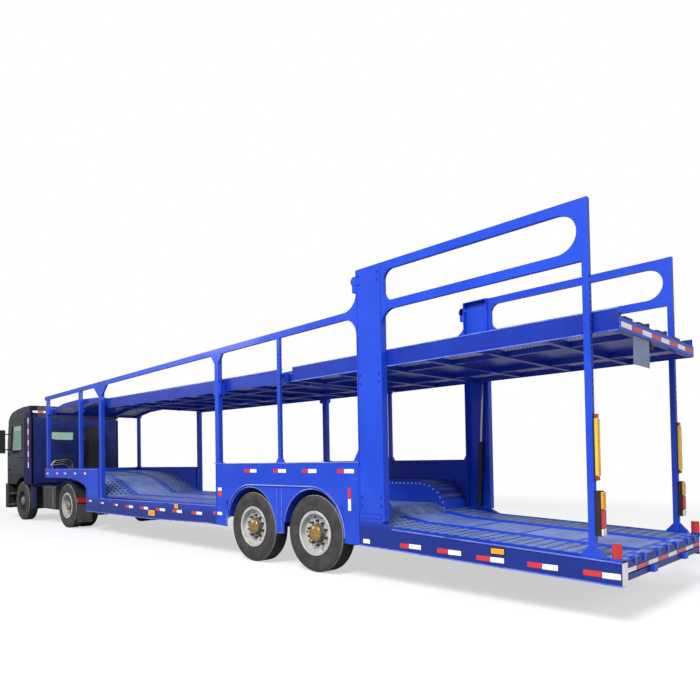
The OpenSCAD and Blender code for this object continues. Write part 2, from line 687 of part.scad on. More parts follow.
module trailer_axles() color("black") placed() for (x = [trailer_axle_1, trailer_axle_2]) {
    both_sides() {
        cross_rod(x, tyre_r, spindle_r, 700, outer_tyre_y + 80);
        block([x - 520, 395, 600], [x + 520, 465, 630]);
        block([x - 300, 395, 589], [x + 300, 465, 601]);
        block([x - 60, 395, 500], [x + 60, 465, 590]);
        for (s = [-1, 1]) translate([x + s * 490 - 25, 395, 629]) cube([50, 70, 35]);
    }
    cross_rod(x, tyre_r, 65, -945, 945);
}

module landing_legs() color("dimgray") placed() both_sides() {
    block([10850, 980, 400], [10950, 1080, 900]);
    block([10800, 930, 385], [11000, 1130, 401]);
    block([10860, 1079, 620], [10940, sill_in_y, 720]);
}

module tail_lamps() color("orange") placed() both_sides() {
    block([205, half_w - 62, 1290], [219.5, half_w - 6, 1900]);
    block([170, half_w - 95, 790], [219.5, half_w - 10, 1200]);
}

module loading_ramps() color("lightsteelblue") placed() both_sides()
    block([10, 570, tail_low_z + 100], [2050, 1110, tail_low_z + 150]);

// ---------- rear upper deck ----------

rear_deck_x0 = 15;
rear_deck_x1 = 4380;

module rear_upper_deck() color("royalblue") placed() {
    both_sides() {
        block([rear_deck_x0, deck_half_w - 12, deck_low_z], [rear_deck_x1, deck_half_w, deck_low_z + beam_h]);
        block([rear_deck_x0, 520, deck_low_z + 15], [rear_deck_x1, 580, deck_low_z + 76.5]);
        // hinge arm and its pin
        block([rear_deck_x1 - 120, deck_half_w - 32, deck_pin_z - 55], [deck_pin_x + 55, deck_half_w - 11, deck_pin_z + 55]);
        cross_rod(deck_pin_x, deck_pin_z, deck_pin_r, deck_half_w - 12, deck_half_w + 30);
        // lug that the lift rod pushes on
        block([lift_eye_x - 35, deck_half_w - 1, lift_eye_z - 50], [lift_eye_x + 35, lift_y - 27, lift_eye_z + 50]);
        // bracket that pins to the rear post
        block([260, deck_half_w - 1, deck_low_z + 30], [330, deck_half_w + 30, deck_low_z + 120]);
    }
    block([rear_deck_x0, -deck_half_w + 11.5, deck_low_z + 76], [rear_deck_x1, deck_half_w - 11.5, deck_low_z + 82]);
    for (x = [15, 690, 1400, 2110, 2820, 3530, 4310])
        block([x, -deck_half_w + 11.5, deck_low_z + 6], [x + 60, deck_half_w - 11.5, deck_low_z + 76.5]);
}

module number_plate() color("slategray") placed() block([18, 340, 2380], [22, 780, deck_low_z + 5.7]);

// ---------- lift cylinders ----------

lift_dir = atan2(lift_eye_x - lift_foot_x, lift_eye_z - lift_foot_z);
lift_len = norm([lift_eye_x - lift_foot_x, lift_eye_z - lift_foot_z]);
barrel_l = 930;

module on_lift(side) placed() translate([lift_foot_x, side * lift_y, lift_foot_z]) rotate([0, lift_dir, 0]) children();

module lift_barrel(side) color("dimgray") on_lift(side) {
    difference() {
        union() {
            translate([0, 0, 20]) cylinder(r = barrel_r, h = barrel_l);
            rotate([90, 0, 0]) translate([0, 0, -20]) cylinder(r = 28, h = 40);
        }
        rotate([90, 0, 0]) translate([0, 0, -38]) cylinder(r = 15 + hub_clearance, h = 76);
        translate([0, 0, 60]) cylinder(r = rod_r + 6, h = barrel_l - 100);
        translate([0, 0, 60]) cylinder(r = rod_r + hub_clearance, h = barrel_l);
    }
}

module lift_rod(side) color("silver") on_lift(side) {
    difference() {
        union() {
            translate([0, 0, barrel_l - 30]) cylinder(r = rod_r, h = lift_len - barrel_l + 10);
            translate([0, 20, lift_len]) rotate([90, 0, 0]) cylinder(r = 34, h = 40);
        }
        translate([0, 21, lift_len]) rotate([90, 0, 0]) cylinder(r = 16, h = 42);
    }
}

tractor_frame();
front_axle();
drive_axle();
fifth_wheel();
engine_block();
cab_shell();
cab_roof();
cab_front();
cab_glass();
front_bumper();
cab_steps();
mirrors();
seats();
dashboard();
fuel_tank();
battery_box();
intake_stack();
drive_mudguards();
door(1);  // door_left
door(-1);  // door_right
door_glass(1);  // door_glass_left
door_glass(-1);  // door_glass_right
knuckle(1);  // knuckle_left
knuckle(-1);  // knuckle_right
single_tyre_at(steer_axle_x, 1);  // steer_tyre_left
single_rim_at(steer_axle_x, 1);  // steer_rim_left
single_tyre_at(steer_axle_x, -1);  // steer_tyre_right
single_rim_at(steer_axle_x, -1);  // steer_rim_right
twin_tyres_at(drive_axle_x, 1);  // drive_tyres_left
twin_rims_at(drive_axle_x, 1);  // drive_rims_left
twin_tyres_at(drive_axle_x, -1);  // drive_tyres_right
twin_rims_at(drive_axle_x, -1);  // drive_rims_right
front_frame();
lower_floor();
wheel_box();
rear_frame();
side_posts();
lift_towers();
guard_rails();
front_upper_deck();
trailer_axles();
landing_legs();
tail_lamps();
loading_ramps();
single_tyre_at(trailer_axle_1, 1);  // bogie_tyre_1_left
single_rim_at(trailer_axle_1, 1);  // bogie_rim_1_left
single_tyre_at(trailer_axle_1, -1);  // bogie_tyre_1_right
single_rim_at(trailer_axle_1, -1);  // bogie_rim_1_right
single_tyre_at(trailer_axle_2, 1);  // bogie_tyre_2_left
single_rim_at(trailer_axle_2, 1);  // bogie_rim_2_left
single_tyre_at(trailer_axle_2, -1);  // bogie_tyre_2_right
single_rim_at(trailer_axle_2, -1);  // bogie_rim_2_right
rear_upper_deck();
number_plate();
lift_barrel(1);  // lift_barrel_left
lift_barrel(-1);  // lift_barrel_right
lift_rod(1);  // lift_rod_left
lift_rod(-1);  // lift_rod_right
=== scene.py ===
import bpy, bmesh, math
from mathutils import Matrix, Vector


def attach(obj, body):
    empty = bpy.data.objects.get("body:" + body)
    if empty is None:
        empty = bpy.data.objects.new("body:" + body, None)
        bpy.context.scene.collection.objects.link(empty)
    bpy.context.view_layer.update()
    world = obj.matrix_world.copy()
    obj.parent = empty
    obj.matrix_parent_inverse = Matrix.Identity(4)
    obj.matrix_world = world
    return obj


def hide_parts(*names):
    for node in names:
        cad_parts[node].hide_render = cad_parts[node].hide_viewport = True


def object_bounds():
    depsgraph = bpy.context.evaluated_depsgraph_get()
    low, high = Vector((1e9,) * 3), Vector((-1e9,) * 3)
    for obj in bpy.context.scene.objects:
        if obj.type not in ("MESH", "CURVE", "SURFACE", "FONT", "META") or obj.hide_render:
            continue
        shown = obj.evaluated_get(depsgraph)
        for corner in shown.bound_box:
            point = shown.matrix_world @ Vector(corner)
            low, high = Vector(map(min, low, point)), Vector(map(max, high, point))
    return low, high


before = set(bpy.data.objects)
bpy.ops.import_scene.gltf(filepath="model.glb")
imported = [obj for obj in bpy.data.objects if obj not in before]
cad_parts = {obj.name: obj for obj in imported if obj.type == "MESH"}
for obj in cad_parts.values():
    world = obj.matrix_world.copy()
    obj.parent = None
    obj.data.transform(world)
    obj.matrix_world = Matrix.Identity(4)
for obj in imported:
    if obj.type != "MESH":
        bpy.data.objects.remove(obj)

cad_low, cad_high = [list(corner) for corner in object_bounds()]
tail = cad_low[0]

# --- Camera -------------------------------------------------------------------------------
# Stands to the left of the trailer's tail at eye height and looks forward along the
# truck, with a moderately wide lens, so the long side frame runs away to the tractor.
camera = bpy.data.cameras.new("camera")
camera.lens = 30.86
camera.sensor_width = 36
camera.shift_x = 0.0636
camera.shift_y = 0.1391
camera.clip_end = 300
camera_stand = bpy.data.objects.new("camera", camera)
camera_stand.matrix_world = Matrix((
    (-0.68487, -0.02641, -0.72819, -10.4274),
    (-0.72850, 0.00321, 0.68504, 6.8875),
    (-0.01576, 0.99965, -0.02143, 1.5178),
    (0, 0, 0, 1)))
bpy.context.scene.collection.objects.link(camera_stand)
bpy.context.scene.camera = camera_stand
bpy.context.scene.view_settings.view_transform = "Standard"

# --- Studio floor and light ---------------------------------------------------------------
# A pale seamless floor that fades to white, one large soft lamp high on the left, weaker
# ones over the tail and the front, and an even white sky.
floor_size, floor_drop = 240, 0.002
floor_seen, floor_bounce = (0.95, 0.95, 0.96, 1), (0.42, 0.42, 0.44, 1)
fade_from, fade_to, near_glow = 10.0, 17.0, 0.58
sky_colour, sky_strength = (0.95, 0.97, 1.0, 1), 0.36
white = (1, 1, 1, 1)

def new_material(name):
    material = bpy.data.materials.new(name)
    material.use_nodes = True
    return material, material.node_tree

def add_node(tree, kind, **inputs):
    node = tree.nodes.new(kind)
    for key, value in inputs.items():
        node.inputs[key.replace("_", " ")].default_value = value
    return node

def map_range(tree, source, start=(0, 1), end=(0, 1), smooth=False):
    node = tree.nodes.new("ShaderNodeMapRange")
    node.interpolation_type = "SMOOTHSTEP" if smooth else "LINEAR"
    node.inputs["From Min"].default_value, node.inputs["From Max"].default_value = start
    node.inputs["To Min"].default_value, node.inputs["To Max"].default_value = end
    tree.links.new(source, node.inputs["Value"])
    return node.outputs["Result"]

def vector_math(tree, operation, source, value=None):
    node = tree.nodes.new("ShaderNodeVectorMath")
    node.operation = operation
    tree.links.new(source, node.inputs[0])
    if value:
        node.inputs[1].default_value = value
    return node.outputs["Value" if operation == "LENGTH" else 0]

def joined(tree, operation, first, second):
    node = tree.nodes.new("ShaderNodeMath")
    node.operation = operation
    tree.links.new(first, node.inputs[0])
    tree.links.new(second, node.inputs[1])
    return node.outputs[0]

def blend_shaders(tree, factor, first, second, output):
    blend = tree.nodes.new("ShaderNodeMixShader")
    tree.links.new(factor, blend.inputs[0])
    tree.links.new(first, blend.inputs[1])
    tree.links.new(second, blend.inputs[2])
    tree.links.new(blend.outputs[0], tree.nodes[output].inputs[0])

floor_material, tree = new_material("studio_floor")
tree.nodes.remove(tree.nodes["Principled BSDF"])
tone = tree.nodes.new("ShaderNodeMix")
tone.data_type = "RGBA"
tone.inputs["A"].default_value = floor_bounce
tone.inputs["B"].default_value = floor_seen
camera_ray = tree.nodes.new("ShaderNodeLightPath").outputs["Is Camera Ray"]
tree.links.new(camera_ray, tone.inputs["Factor"])
matte = tree.nodes.new("ShaderNodeBsdfDiffuse")
tree.links.new(tone.outputs["Result"], matte.inputs["Color"])
glow = add_node(tree, "ShaderNodeEmission", Color=white, Strength=1.0)
reach = vector_math(tree, "LENGTH", tree.nodes.new("ShaderNodeTexCoord").outputs["Object"])
fade = map_range(tree, reach, (fade_from, fade_to), (near_glow, 1.0), smooth=True)
lift = joined(tree, "MULTIPLY", camera_ray, fade)
blend_shaders(tree, lift, matte.outputs[0], glow.outputs[0], "Material Output")
bpy.ops.mesh.primitive_plane_add(size=floor_size, location=(0, 0, -floor_drop))
floor = bpy.context.object
floor.name = "studio_floor"
floor.data.materials.append(floor_material)

world = bpy.data.worlds.new("sky")
world.use_nodes = True
bpy.context.scene.world = world
tree = world.node_tree
sky = tree.nodes["Background"]
sky.inputs["Color"].default_value = sky_colour
sky.inputs["Strength"].default_value = sky_strength
backdrop = add_node(tree, "ShaderNodeBackground", Color=white, Strength=1.0)
rays = tree.nodes.new("ShaderNodeLightPath")
seen = joined(tree, "MAXIMUM", rays.outputs["Is Camera Ray"], rays.outputs["Is Transmission Ray"])
blend_shaders(tree, seen, sky.outputs[0], backdrop.outputs[0], "World Output")

def soft_lamp(name, place, target, size, power):
    lamp = bpy.data.lights.new(name, "AREA")
    lamp.size = size
    lamp.energy = power
    stand = bpy.data.objects.new(name, lamp)
    stand.location = place
    aim = Vector(target) - Vector(place)
    stand.rotation_euler = aim.to_track_quat("-Z", "Y").to_euler()
    bpy.context.scene.collection.objects.link(stand)

soft_lamp("key_lamp", (-10, 15, 16), (-1, 0, 1), 8, 5300)
soft_lamp("tail_lamp_light", (-22, -6, 9), (-4, 0, 1), 8, 900)
soft_lamp("front_lamp", (18, 12, 12), (5, 0, 1), 10, 1300)

# --- Trailer paint ------------------------------------------------------------------------
# Bright royal blue two-part enamel on welded plate: glossy, with faint unevenness from the
# plate, painted shade that darkens the sills towards the bottom, and duller patches from handling.
painted_shade_depth = 0.38

def noise(tree, place, **inputs):
    node = add_node(tree, "ShaderNodeTexNoise", **inputs)
    tree.links.new(place, node.inputs["Vector"])
    return node.outputs["Fac"]

def two_tone(tree, source, dark, light, ends=(0, 1)):
    ramp = tree.nodes.new("ShaderNodeValToRGB")
    first, last = ramp.color_ramp.elements
    first.position, last.position = ends
    first.color, last.color = (*dark, 1), (*light, 1)
    tree.links.new(source, ramp.inputs["Fac"])
    return ramp.outputs["Color"]

def add_relief(tree, source, strength, depth):
    relief = add_node(tree, "ShaderNodeBump", Strength=strength, Distance=depth)
    tree.links.new(source, relief.inputs["Height"])
    tree.links.new(relief.outputs["Normal"], tree.nodes["Principled BSDF"].inputs["Normal"])

def surface(name, dark, light, rough=(0.35, 0.5), grain=6.0, metallic=0.0, bump=0.1,
            bump_scale=60.0, coat=0.0, specular=0.5, shade=None):
    material, tree = new_material(name)
    shader = tree.nodes["Principled BSDF"]
    shader.inputs["Metallic"].default_value = metallic
    shader.inputs["Coat Weight"].default_value = coat
    shader.inputs["Coat Roughness"].default_value = 0.08
    shader.inputs["Specular IOR Level"].default_value = specular
    place = tree.nodes.new("ShaderNodeTexCoord").outputs["Object"]
    cloud = noise(tree, place, Scale=grain, Detail=6.0, Roughness=0.6)
    colour = two_tone(tree, cloud, dark, light, (0.3, 0.7))
    # Painted shade: below the given heights the colour is multiplied darker towards the bottom.
    if shade:
        height = tree.nodes.new("ShaderNodeSeparateXYZ")
        tree.links.new(place, height.inputs["Vector"])
        painted_shade_mix = tree.nodes.new("ShaderNodeMix")
        painted_shade_mix.data_type = "RGBA"
        painted_shade_mix.blend_type = "MULTIPLY"
        painted_shade_mix.inputs["Factor"].default_value = 1.0
        tree.links.new(colour, painted_shade_mix.inputs["A"])
        tree.links.new(map_range(tree, height.outputs["Z"], shade, (painted_shade_depth, 1)), painted_shade_mix.inputs["B"])
        colour = painted_shade_mix.outputs["Result"]
    tree.links.new(colour, shader.inputs["Base Color"])
    patches = noise(tree, place, Scale=grain * 0.4, Detail=4.0)
    tree.links.new(map_range(tree, patches, end=rough), shader.inputs["Roughness"])
    add_relief(tree, noise(tree, place, Scale=bump_scale, Detail=3.0), bump, 0.002)
    return material

def enamel(name, dark, light, rough=(0.26, 0.42), coat=0.3, shade=None):
    return surface(name, dark, light, rough, 1.4, bump=0.05, bump_scale=18, coat=coat,
                   specular=0.35, shade=shade)

def repaint(material, *node_names):
    for name in node_names:
        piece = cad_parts[name]
        piece.data.materials.clear()
        piece.data.materials.append(material)

trailer_blue = enamel("trailer_blue", (0.006, 0.046, 0.51), (0.013, 0.072, 0.65))
# The sills take painted shade, darker towards the bottom.
shaded_sill_blue = enamel("shaded_sill_blue", (0.007, 0.050, 0.54), (0.014, 0.072, 0.67), (0.3, 0.5), 0.2,
                   shade=(0.66, 0.86))
# The decks and the bracket bolts take a darker copy of the trailer blue: painted shade.
painted_shade_blue = enamel("painted_shade_blue", (0.003, 0.022, 0.28), (0.007, 0.038, 0.40))
repaint(trailer_blue, "wheel_box", "side_posts", "lift_towers", "guard_rails")
repaint(shaded_sill_blue, "front_frame", "rear_frame")
repaint(painted_shade_blue, "front_upper_deck", "rear_upper_deck")

# --- Edge flanges and seams of the side frames ----------------------------------------------
# The side frames are folded plate: a narrow flange stands proud along each top and bottom
# edge, and thin strips are welded over the seams at the step, the wheel box and the towers.
sides = (1, -1)
side_y, deck_y = 1.275, 1.17
flange_out, flange_depth, seam_out = 0.008, 0.014, 0.006
deck_flange_in = 0.016

def new_piece(name, body, material, shape, bevel=0.0, smooth=False, segments=2):
    mesh = bpy.data.meshes.new(name)
    if bevel == 0:
        bmesh.ops.recalc_face_normals(shape, faces=shape.faces)
    shape.to_mesh(mesh)
    shape.free()
    piece = bpy.data.objects.new(name, mesh)
    bpy.context.scene.collection.objects.link(piece)
    piece.data.materials.append(material)
    if bevel:
        edge = piece.modifiers.new("edge", "BEVEL")
        edge.width = bevel
        edge.segments = segments
        edge.limit_method = "ANGLE"
    if smooth:
        for face in mesh.polygons:
            face.use_smooth = True
    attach(piece, body)
    return piece

def bar(shape, low, high):
    v = [shape.verts.new((x + tail, y, z))
         for x in (low[0], high[0]) for y in (low[1], high[1]) for z in (low[2], high[2])]
    for a, b, c, d in ((0, 1, 3, 2), (4, 6, 7, 5), (0, 4, 5, 1), (2, 3, 7, 6), (0, 2, 6, 4), (1, 5, 7, 3)):
        shape.faces.new((v[a], v[b], v[c], v[d]))

def strip(shape, path, y0, y1, depth):
    rings = []
    for x, z in path:
        corners = ((y0, z), (y1, z), (y1, z - depth), (y0, z - depth))
        rings.append([shape.verts.new((x + tail, y, h)) for y, h in corners])
    for a, b in zip(rings, rings[1:]):
        for i in range(4):
            k = (i + 1) % 4
            shape.faces.new((a[i], a[k], b[k], b[i]))
    shape.faces.new(rings[0][::-1])
    shape.faces.new(rings[-1])

def on_side(side, y):
    return sorted((side * y[0], side * y[1]))

def bar_pair(shape, x, y, z):
    for side in sides:
        lo, hi = on_side(side, y)
        bar(shape, (x[0], lo, z[0]), (x[1], hi, z[1]))

def strip_pair(shape, path, y, depth):
    for side in sides:
        lo, hi = on_side(side, y)
        strip(shape, path, lo, hi, depth)

# The flanges and beads are a paler, glossier blue than the frames: a painted highlight along the edges.
painted_highlight_blue = surface("painted_highlight_blue", (0.035, 0.085, 0.62), (0.22, 0.28, 0.80), (0.2, 0.36), 5, coat=0.5)
side_edges = [
    [(0.0, 0.578), (2.54, 0.688)],
    [(0.0, 0.374), (2.6, 0.449), (3.05, 0.461)],
    [(6.16, 0.806), (10.5, 0.772)],
    [(6.3, 0.517), (8.3, 0.474), (11.16, 0.474)],
    [(10.56, 1.4), (13.65, 1.4)],
]
front_deck_edge = [(4.6, 2.852), (7.4, 2.87), (10.25, 2.914), (10.7, 2.972), (11.9, 3.017),
                   (12.7, 2.992), (13.56, 2.867)]
shape = bmesh.new()
for edge_line in side_edges:
    strip_pair(shape, edge_line, (side_y, side_y + flange_out), flange_depth)
strip_pair(shape, [(3.06, 1.49), (6.15, 1.49)], (side_y, side_y + flange_out), 0.016)
strip_pair(shape, front_deck_edge, (1.145, deck_y), 0.012)
new_piece("frame_flanges", "trailer", painted_highlight_blue, shape, 0.002)

# seams: x from and to, z from and to
seams = [(10.5, 10.515, 0.47, 1.39), (11.135, 11.165, 0.47, 0.98), (2.66, 3.04, 0.85, 0.862),
         (3.052, 3.066, 0.50, 1.48), (6.128, 6.146, 0.50, 1.48), (2.652, 2.668, 0.86, 3.87),
         (3.032, 3.048, 0.86, 3.87)]
shape = bmesh.new()
for x0, x1, z0, z1 in seams:
    bar_pair(shape, (x0, x1), (side_y, side_y + seam_out), (z0, z1))
new_piece("plate_edges", "trailer", trailer_blue, shape, 0.0015)

# The deck flanges take the same painted highlight.
shape = bmesh.new()
for z in (2.838, 2.64):
    bar_pair(shape, (0.015, 4.38), (deck_y - deck_flange_in, deck_y), (z, z + 0.012))
new_piece("deck_flanges", "rear_deck", painted_highlight_blue, shape, 0.002)

# --- Fillet plates at the towers ------------------------------------------------------------
# Where the rear guard rails meet a tower, a web as thick as the rail and with a hollow curve
# is welded into each corner.
rail_y = (1.2255, 1.2745)
fillet_steps = 10

def fillet(shape, corner, to_x, to_z, radius, y):
    x, z = corner[0] + tail, corner[1]
    turns = [math.pi / 2 * i / fillet_steps for i in range(fillet_steps + 1)]
    arc = [(x + to_x * radius * (1 - math.cos(t)), z + to_z * radius * (1 - math.sin(t))) for t in turns]
    sheets = [[shape.verts.new((px, across, pz)) for px, pz in [(x, z)] + arc] for across in y]
    for near, far in zip(sheets[0][1:], sheets[0][2:]):
        shape.faces.new((sheets[0][0], near, far))
    for near, far in zip(sheets[1][1:], sheets[1][2:]):
        shape.faces.new((sheets[1][0], far, near))
    for i in range(len(sheets[0])):
        k = (i + 1) % len(sheets[0])
        shape.faces.new((sheets[0][i], sheets[1][i], sheets[1][k], sheets[0][k]))

shape = bmesh.new()
for side in sides:
    rail_faces = on_side(side, rail_y)
    fillet(shape, (2.606, 3.409), -1, 1, 0.13, rail_faces)
    fillet(shape, (2.606, 3.791), -1, -1, 0.13, rail_faces)
    fillet(shape, (2.651, 3.311), -1, -1, 0.19, rail_faces)
new_piece("rail_fillets", "trailer", trailer_blue, shape)

# --- Arch lips ------------------------------------------------------------------------------
# A half-round steel bead is welded round the wheel box's long arch and round each mudguard
# inside it; it is painted a paler blue as a painted highlight.
bogie_x = (3.915, 5.255)
arch_z, arch_r = 0.555, 0.604
guard_z, guard_r = 0.545, 0.583

def rod(shape, a, b, radius, facets=20):
    a, b = Vector(a) + Vector((tail, 0, 0)), Vector(b) + Vector((tail, 0, 0))
    turn = (b - a).to_track_quat("Z", "Y").to_matrix()
    angles = [2 * math.pi * i / facets for i in range(facets)]
    rings = [[shape.verts.new(end + turn @ Vector((math.cos(t) * radius, math.sin(t) * radius, 0)))
              for t in angles] for end in (a, b)]
    for i in range(facets):
        k = (i + 1) % facets
        shape.faces.new((rings[0][i], rings[0][k], rings[1][k], rings[1][i]))
    shape.faces.new(rings[0][::-1])
    shape.faces.new(rings[1])

def bead(shape, line, y, radius, facets=8):
    for (xa, za), (xb, zb) in zip(line, line[1:]):
        rod(shape, (xa, y, za), (xb, y, zb), radius, facets)

def arc_line(x, z, radius, start, step, count=21):
    angles = [math.radians(start + i * step) for i in range(count)]
    return [(x + radius * math.cos(t), z + radius * math.sin(t)) for t in angles]

lips = bmesh.new()
long_arch = arc_line(bogie_x[1], arch_z, arch_r, -4, 4.7) + arc_line(bogie_x[0], arch_z, arch_r, 90, 4.7)
for side in sides:
    bead(lips, long_arch, side * side_y, 0.009)
    for x in bogie_x:
        bead(lips, arc_line(x, guard_z, guard_r, 10, 8), side * 1.262, 0.006)
for x0, x1, z0, z1 in ((4.53, 4.536, 0.50, 1.12), (4.634, 4.640, 0.50, 1.12), (4.52, 4.65, 0.484, 0.494)):
    bar_pair(lips, (x0, x1), (1.263, 1.277), (z0, z1))
new_piece("arch_lips", "trailer", painted_highlight_blue, lips)

# --- Wheel tracks of the lower deck ---------------------------------------------------------
# Galvanised sheet pressed with rows of raised, pierced dimples for grip. Each track lies
# between two blue beams and follows the floor down to the tail.
def pressed_sheet(name, pitch_x, pitch_y, radius, base, pit, slant=0.0):
    material, tree = new_material(name)
    shader = tree.nodes["Principled BSDF"]
    shader.inputs["Metallic"].default_value = 0.15
    place = tree.nodes.new("ShaderNodeTexCoord").outputs["Object"]
    turn = tree.nodes.new("ShaderNodeMapping")
    turn.inputs["Rotation"].default_value = (0, 0, slant)
    tree.links.new(place, turn.inputs["Vector"])
    cells = vector_math(tree, "MULTIPLY", turn.outputs["Vector"], (1 / pitch_x, 1 / pitch_y, 0))
    centred = vector_math(tree, "SUBTRACT", vector_math(tree, "FRACTION", cells), (0.5, 0.5, 0))
    reach = vector_math(tree, "LENGTH", centred)
    cloud = noise(tree, place, Scale=3.0, Detail=8.0)
    zinc = two_tone(tree, cloud, [c * 0.55 for c in base], base, (0.3, 0.72))
    mix = tree.nodes.new("ShaderNodeMix")
    mix.data_type = "RGBA"
    mix.inputs["A"].default_value = (*pit, 1)
    tree.links.new(map_range(tree, reach, (radius * 0.8, radius), smooth=True), mix.inputs["Factor"])
    tree.links.new(zinc, mix.inputs["B"])
    tree.links.new(mix.outputs["Result"], shader.inputs["Base Color"])
    tree.links.new(map_range(tree, cloud, end=(0.34, 0.55)), shader.inputs["Roughness"])
    rim = (radius, min(0.5, radius * 1.6))
    add_relief(tree, map_range(tree, reach, rim, (1, 0), smooth=True), 0.9, 0.008)
    return material

def raised(path, height):
    return [(x, z + height) for x, z in path]

dimpled_zinc = pressed_sheet("dimpled_zinc", 0.13, 0.105, 0.28, (0.22, 0.32, 0.70), (0.005, 0.010, 0.08))
# The centre sheets are a darker zinc than the tracks: painted shade.
fine_zinc_painted_shade = surface("fine_zinc_painted_shade", (0.10, 0.16, 0.44), (0.22, 0.31, 0.66), (0.35, 0.5), 2.2,
                    metallic=0.1, bump=0.15)
slotted_zinc = pressed_sheet("slotted_zinc", 0.14, 0.07, 0.30, (0.26, 0.40, 0.90), (0.008, 0.016, 0.10))
floor_zinc = surface("floor_zinc", (0.05, 0.09, 0.30), (0.24, 0.32, 0.60), (0.4, 0.6), 4, metallic=0.5)
repaint(floor_zinc, "lower_floor", "loading_ramps")

rear_floor = [(0.13, 0.5755), (2.60, 0.6805), (3.0, 0.7405)]
rear_slope = 0.0425
well_floor = [(6.2, 0.8005), (10.4, 0.8005), (11.25, 1.1205), (11.65, 1.2005), (12.1, 1.2565),
              (13.0, 1.3005), (13.55, 1.3005)]
axle_floor = [(3.2, 0.8605), (6.0, 0.8605)]
track_y, tread_y = (0.54, 1.17), 1.17
track_rise, sheet_rise, beam_rise = 0.012, 0.006, 0.022
beam_half = 0.012

shape = bmesh.new()
for path in (rear_floor, well_floor):
    strip_pair(shape, raised(path, track_rise), track_y, track_rise)
new_piece("lower_tracks", "trailer", dimpled_zinc, shape)
shape = bmesh.new()
for path, half in ((rear_floor, 0.42), (axle_floor, 0.55), (well_floor[:4], 0.42)):
    strip(shape, raised(path, sheet_rise), -half, half, sheet_rise)
new_piece("centre_sheets", "trailer", fine_zinc_painted_shade, shape)

shape = bmesh.new()
strip(shape, [(0.004, 0.5805), (0.30, 0.5875)], -tread_y, tread_y, 0.004)
new_piece("tail_tread", "trailer", slotted_zinc, shape)
shape = bmesh.new()
for y in (0.43, 0.53, 1.18):
    for path in (rear_floor, well_floor):
        strip_pair(shape, raised(path, beam_rise), (y - beam_half, y + beam_half), beam_rise)
for x in (0.75, 1.4, 2.05):
    z = rear_floor[0][1] + (x - rear_floor[0][0]) * rear_slope
    bar(shape, (x, -tread_y, z), (x + 0.02, tread_y, z + 0.014))
new_piece("track_beams", "trailer", trailer_blue, shape, 0.002)

# --- Chequer covers over the wheels ---------------------------------------------------------
# Raised cover plates that cars drive over, pressed with the same pierced dimples; the plate
# is dark navy as painted shade, and its pale dots and a row of pale discs along its inner
# edge are painted light showing through the perforations.
cover_path = [(3.056, 0.737), (3.088, 0.905), (3.182, 1.048), (3.324, 1.1425), (3.492, 1.1765),
              (5.708, 1.1765), (5.876, 1.1425), (6.018, 1.048), (6.112, 0.905), (6.146, 0.804)]
cover_rise, hole_light_pitch, hole_light_drop, hole_light_radius = 0.008, 0.075, 0.035, 0.013
# The plate's dark navy is painted shade; its pale dots are painted light through the perforations.
cover_shade_and_light = pressed_sheet("cover_shade_and_light_plate", 0.07, 0.07, 0.22, (0.012, 0.03, 0.30), (0.16, 0.20, 0.45))
painted_hole_light = surface("painted_hole_light", (0.40, 0.46, 0.66), (0.66, 0.72, 0.90), (0.3, 0.5), 30, metallic=0.3)
shape = bmesh.new()
strip_pair(shape, raised(cover_path, cover_rise), (0.63, 1.20), cover_rise)
new_piece("wheel_covers", "trailer", cover_shade_and_light, shape)
# The pale discs along the inner edge are painted light showing through holes.
hole_light_discs = bmesh.new()
for (xa, za), (xb, zb) in zip(cover_path, cover_path[1:]):
    count = max(1, round(math.hypot(xb - xa, zb - za) / hole_light_pitch))
    for i in range(count):
        x, z = xa + (xb - xa) * i / count, za + (zb - za) * i / count - hole_light_drop
        for side in sides:
            rod(hole_light_discs, (x, side * 0.5995, z), (x, side * 0.596, z), hole_light_radius, 10)
new_piece("cover_hole_light", "trailer", painted_hole_light, hole_light_discs)

# --- Wheel tracks of the upper decks --------------------------------------------------------
# Expanded steel mesh, hot-dip galvanised, in two tracks beside the side beams, seen from above
# and below. Two bridging plates, fixed to the front deck, span the gap at the hinge.
mesh_zinc = pressed_sheet("mesh_zinc", 0.10, 0.045, 0.30, (0.40, 0.46, 0.66), (0.012, 0.02, 0.09), 0.5)
# The mesh undersides are nearly white with a pink tint: painted light and a painted reflection.
mesh_under_reflection = pressed_sheet("mesh_under_reflection", 0.07, 0.045, 0.26, (0.95, 0.86, 0.94), (0.02, 0.03, 0.22), 0.5)
mesh_y = (0.60, 1.14)
rear_deck_line = [(0.02, 2.64), (4.375, 2.64)]
front_deck_line = [(4.62, 2.64), (10.25, 2.702), (10.7, 2.86), (11.9, 2.905), (12.7, 2.88), (13.56, 2.755)]
mesh_tracks = (("rear_deck", "rear_deck_tracks", rear_deck_line),
               ("trailer", "front_deck_tracks", front_deck_line))
for body, name, line in mesh_tracks:
    shape, under = bmesh.new(), bmesh.new()
    strip_pair(shape, raised(line, 0.092), mesh_y, 0.009)
    strip_pair(under, raised(line, 0.0755), mesh_y, 0.004)
    new_piece(name, body, mesh_zinc, shape)
    new_piece(name + "_underside", body, mesh_under_reflection, under)
shape = bmesh.new()
bar_pair(shape, (4.34, 4.68), mesh_y, (2.7325, 2.7405))
new_piece("bridging_plates", "trailer", mesh_zinc, shape)

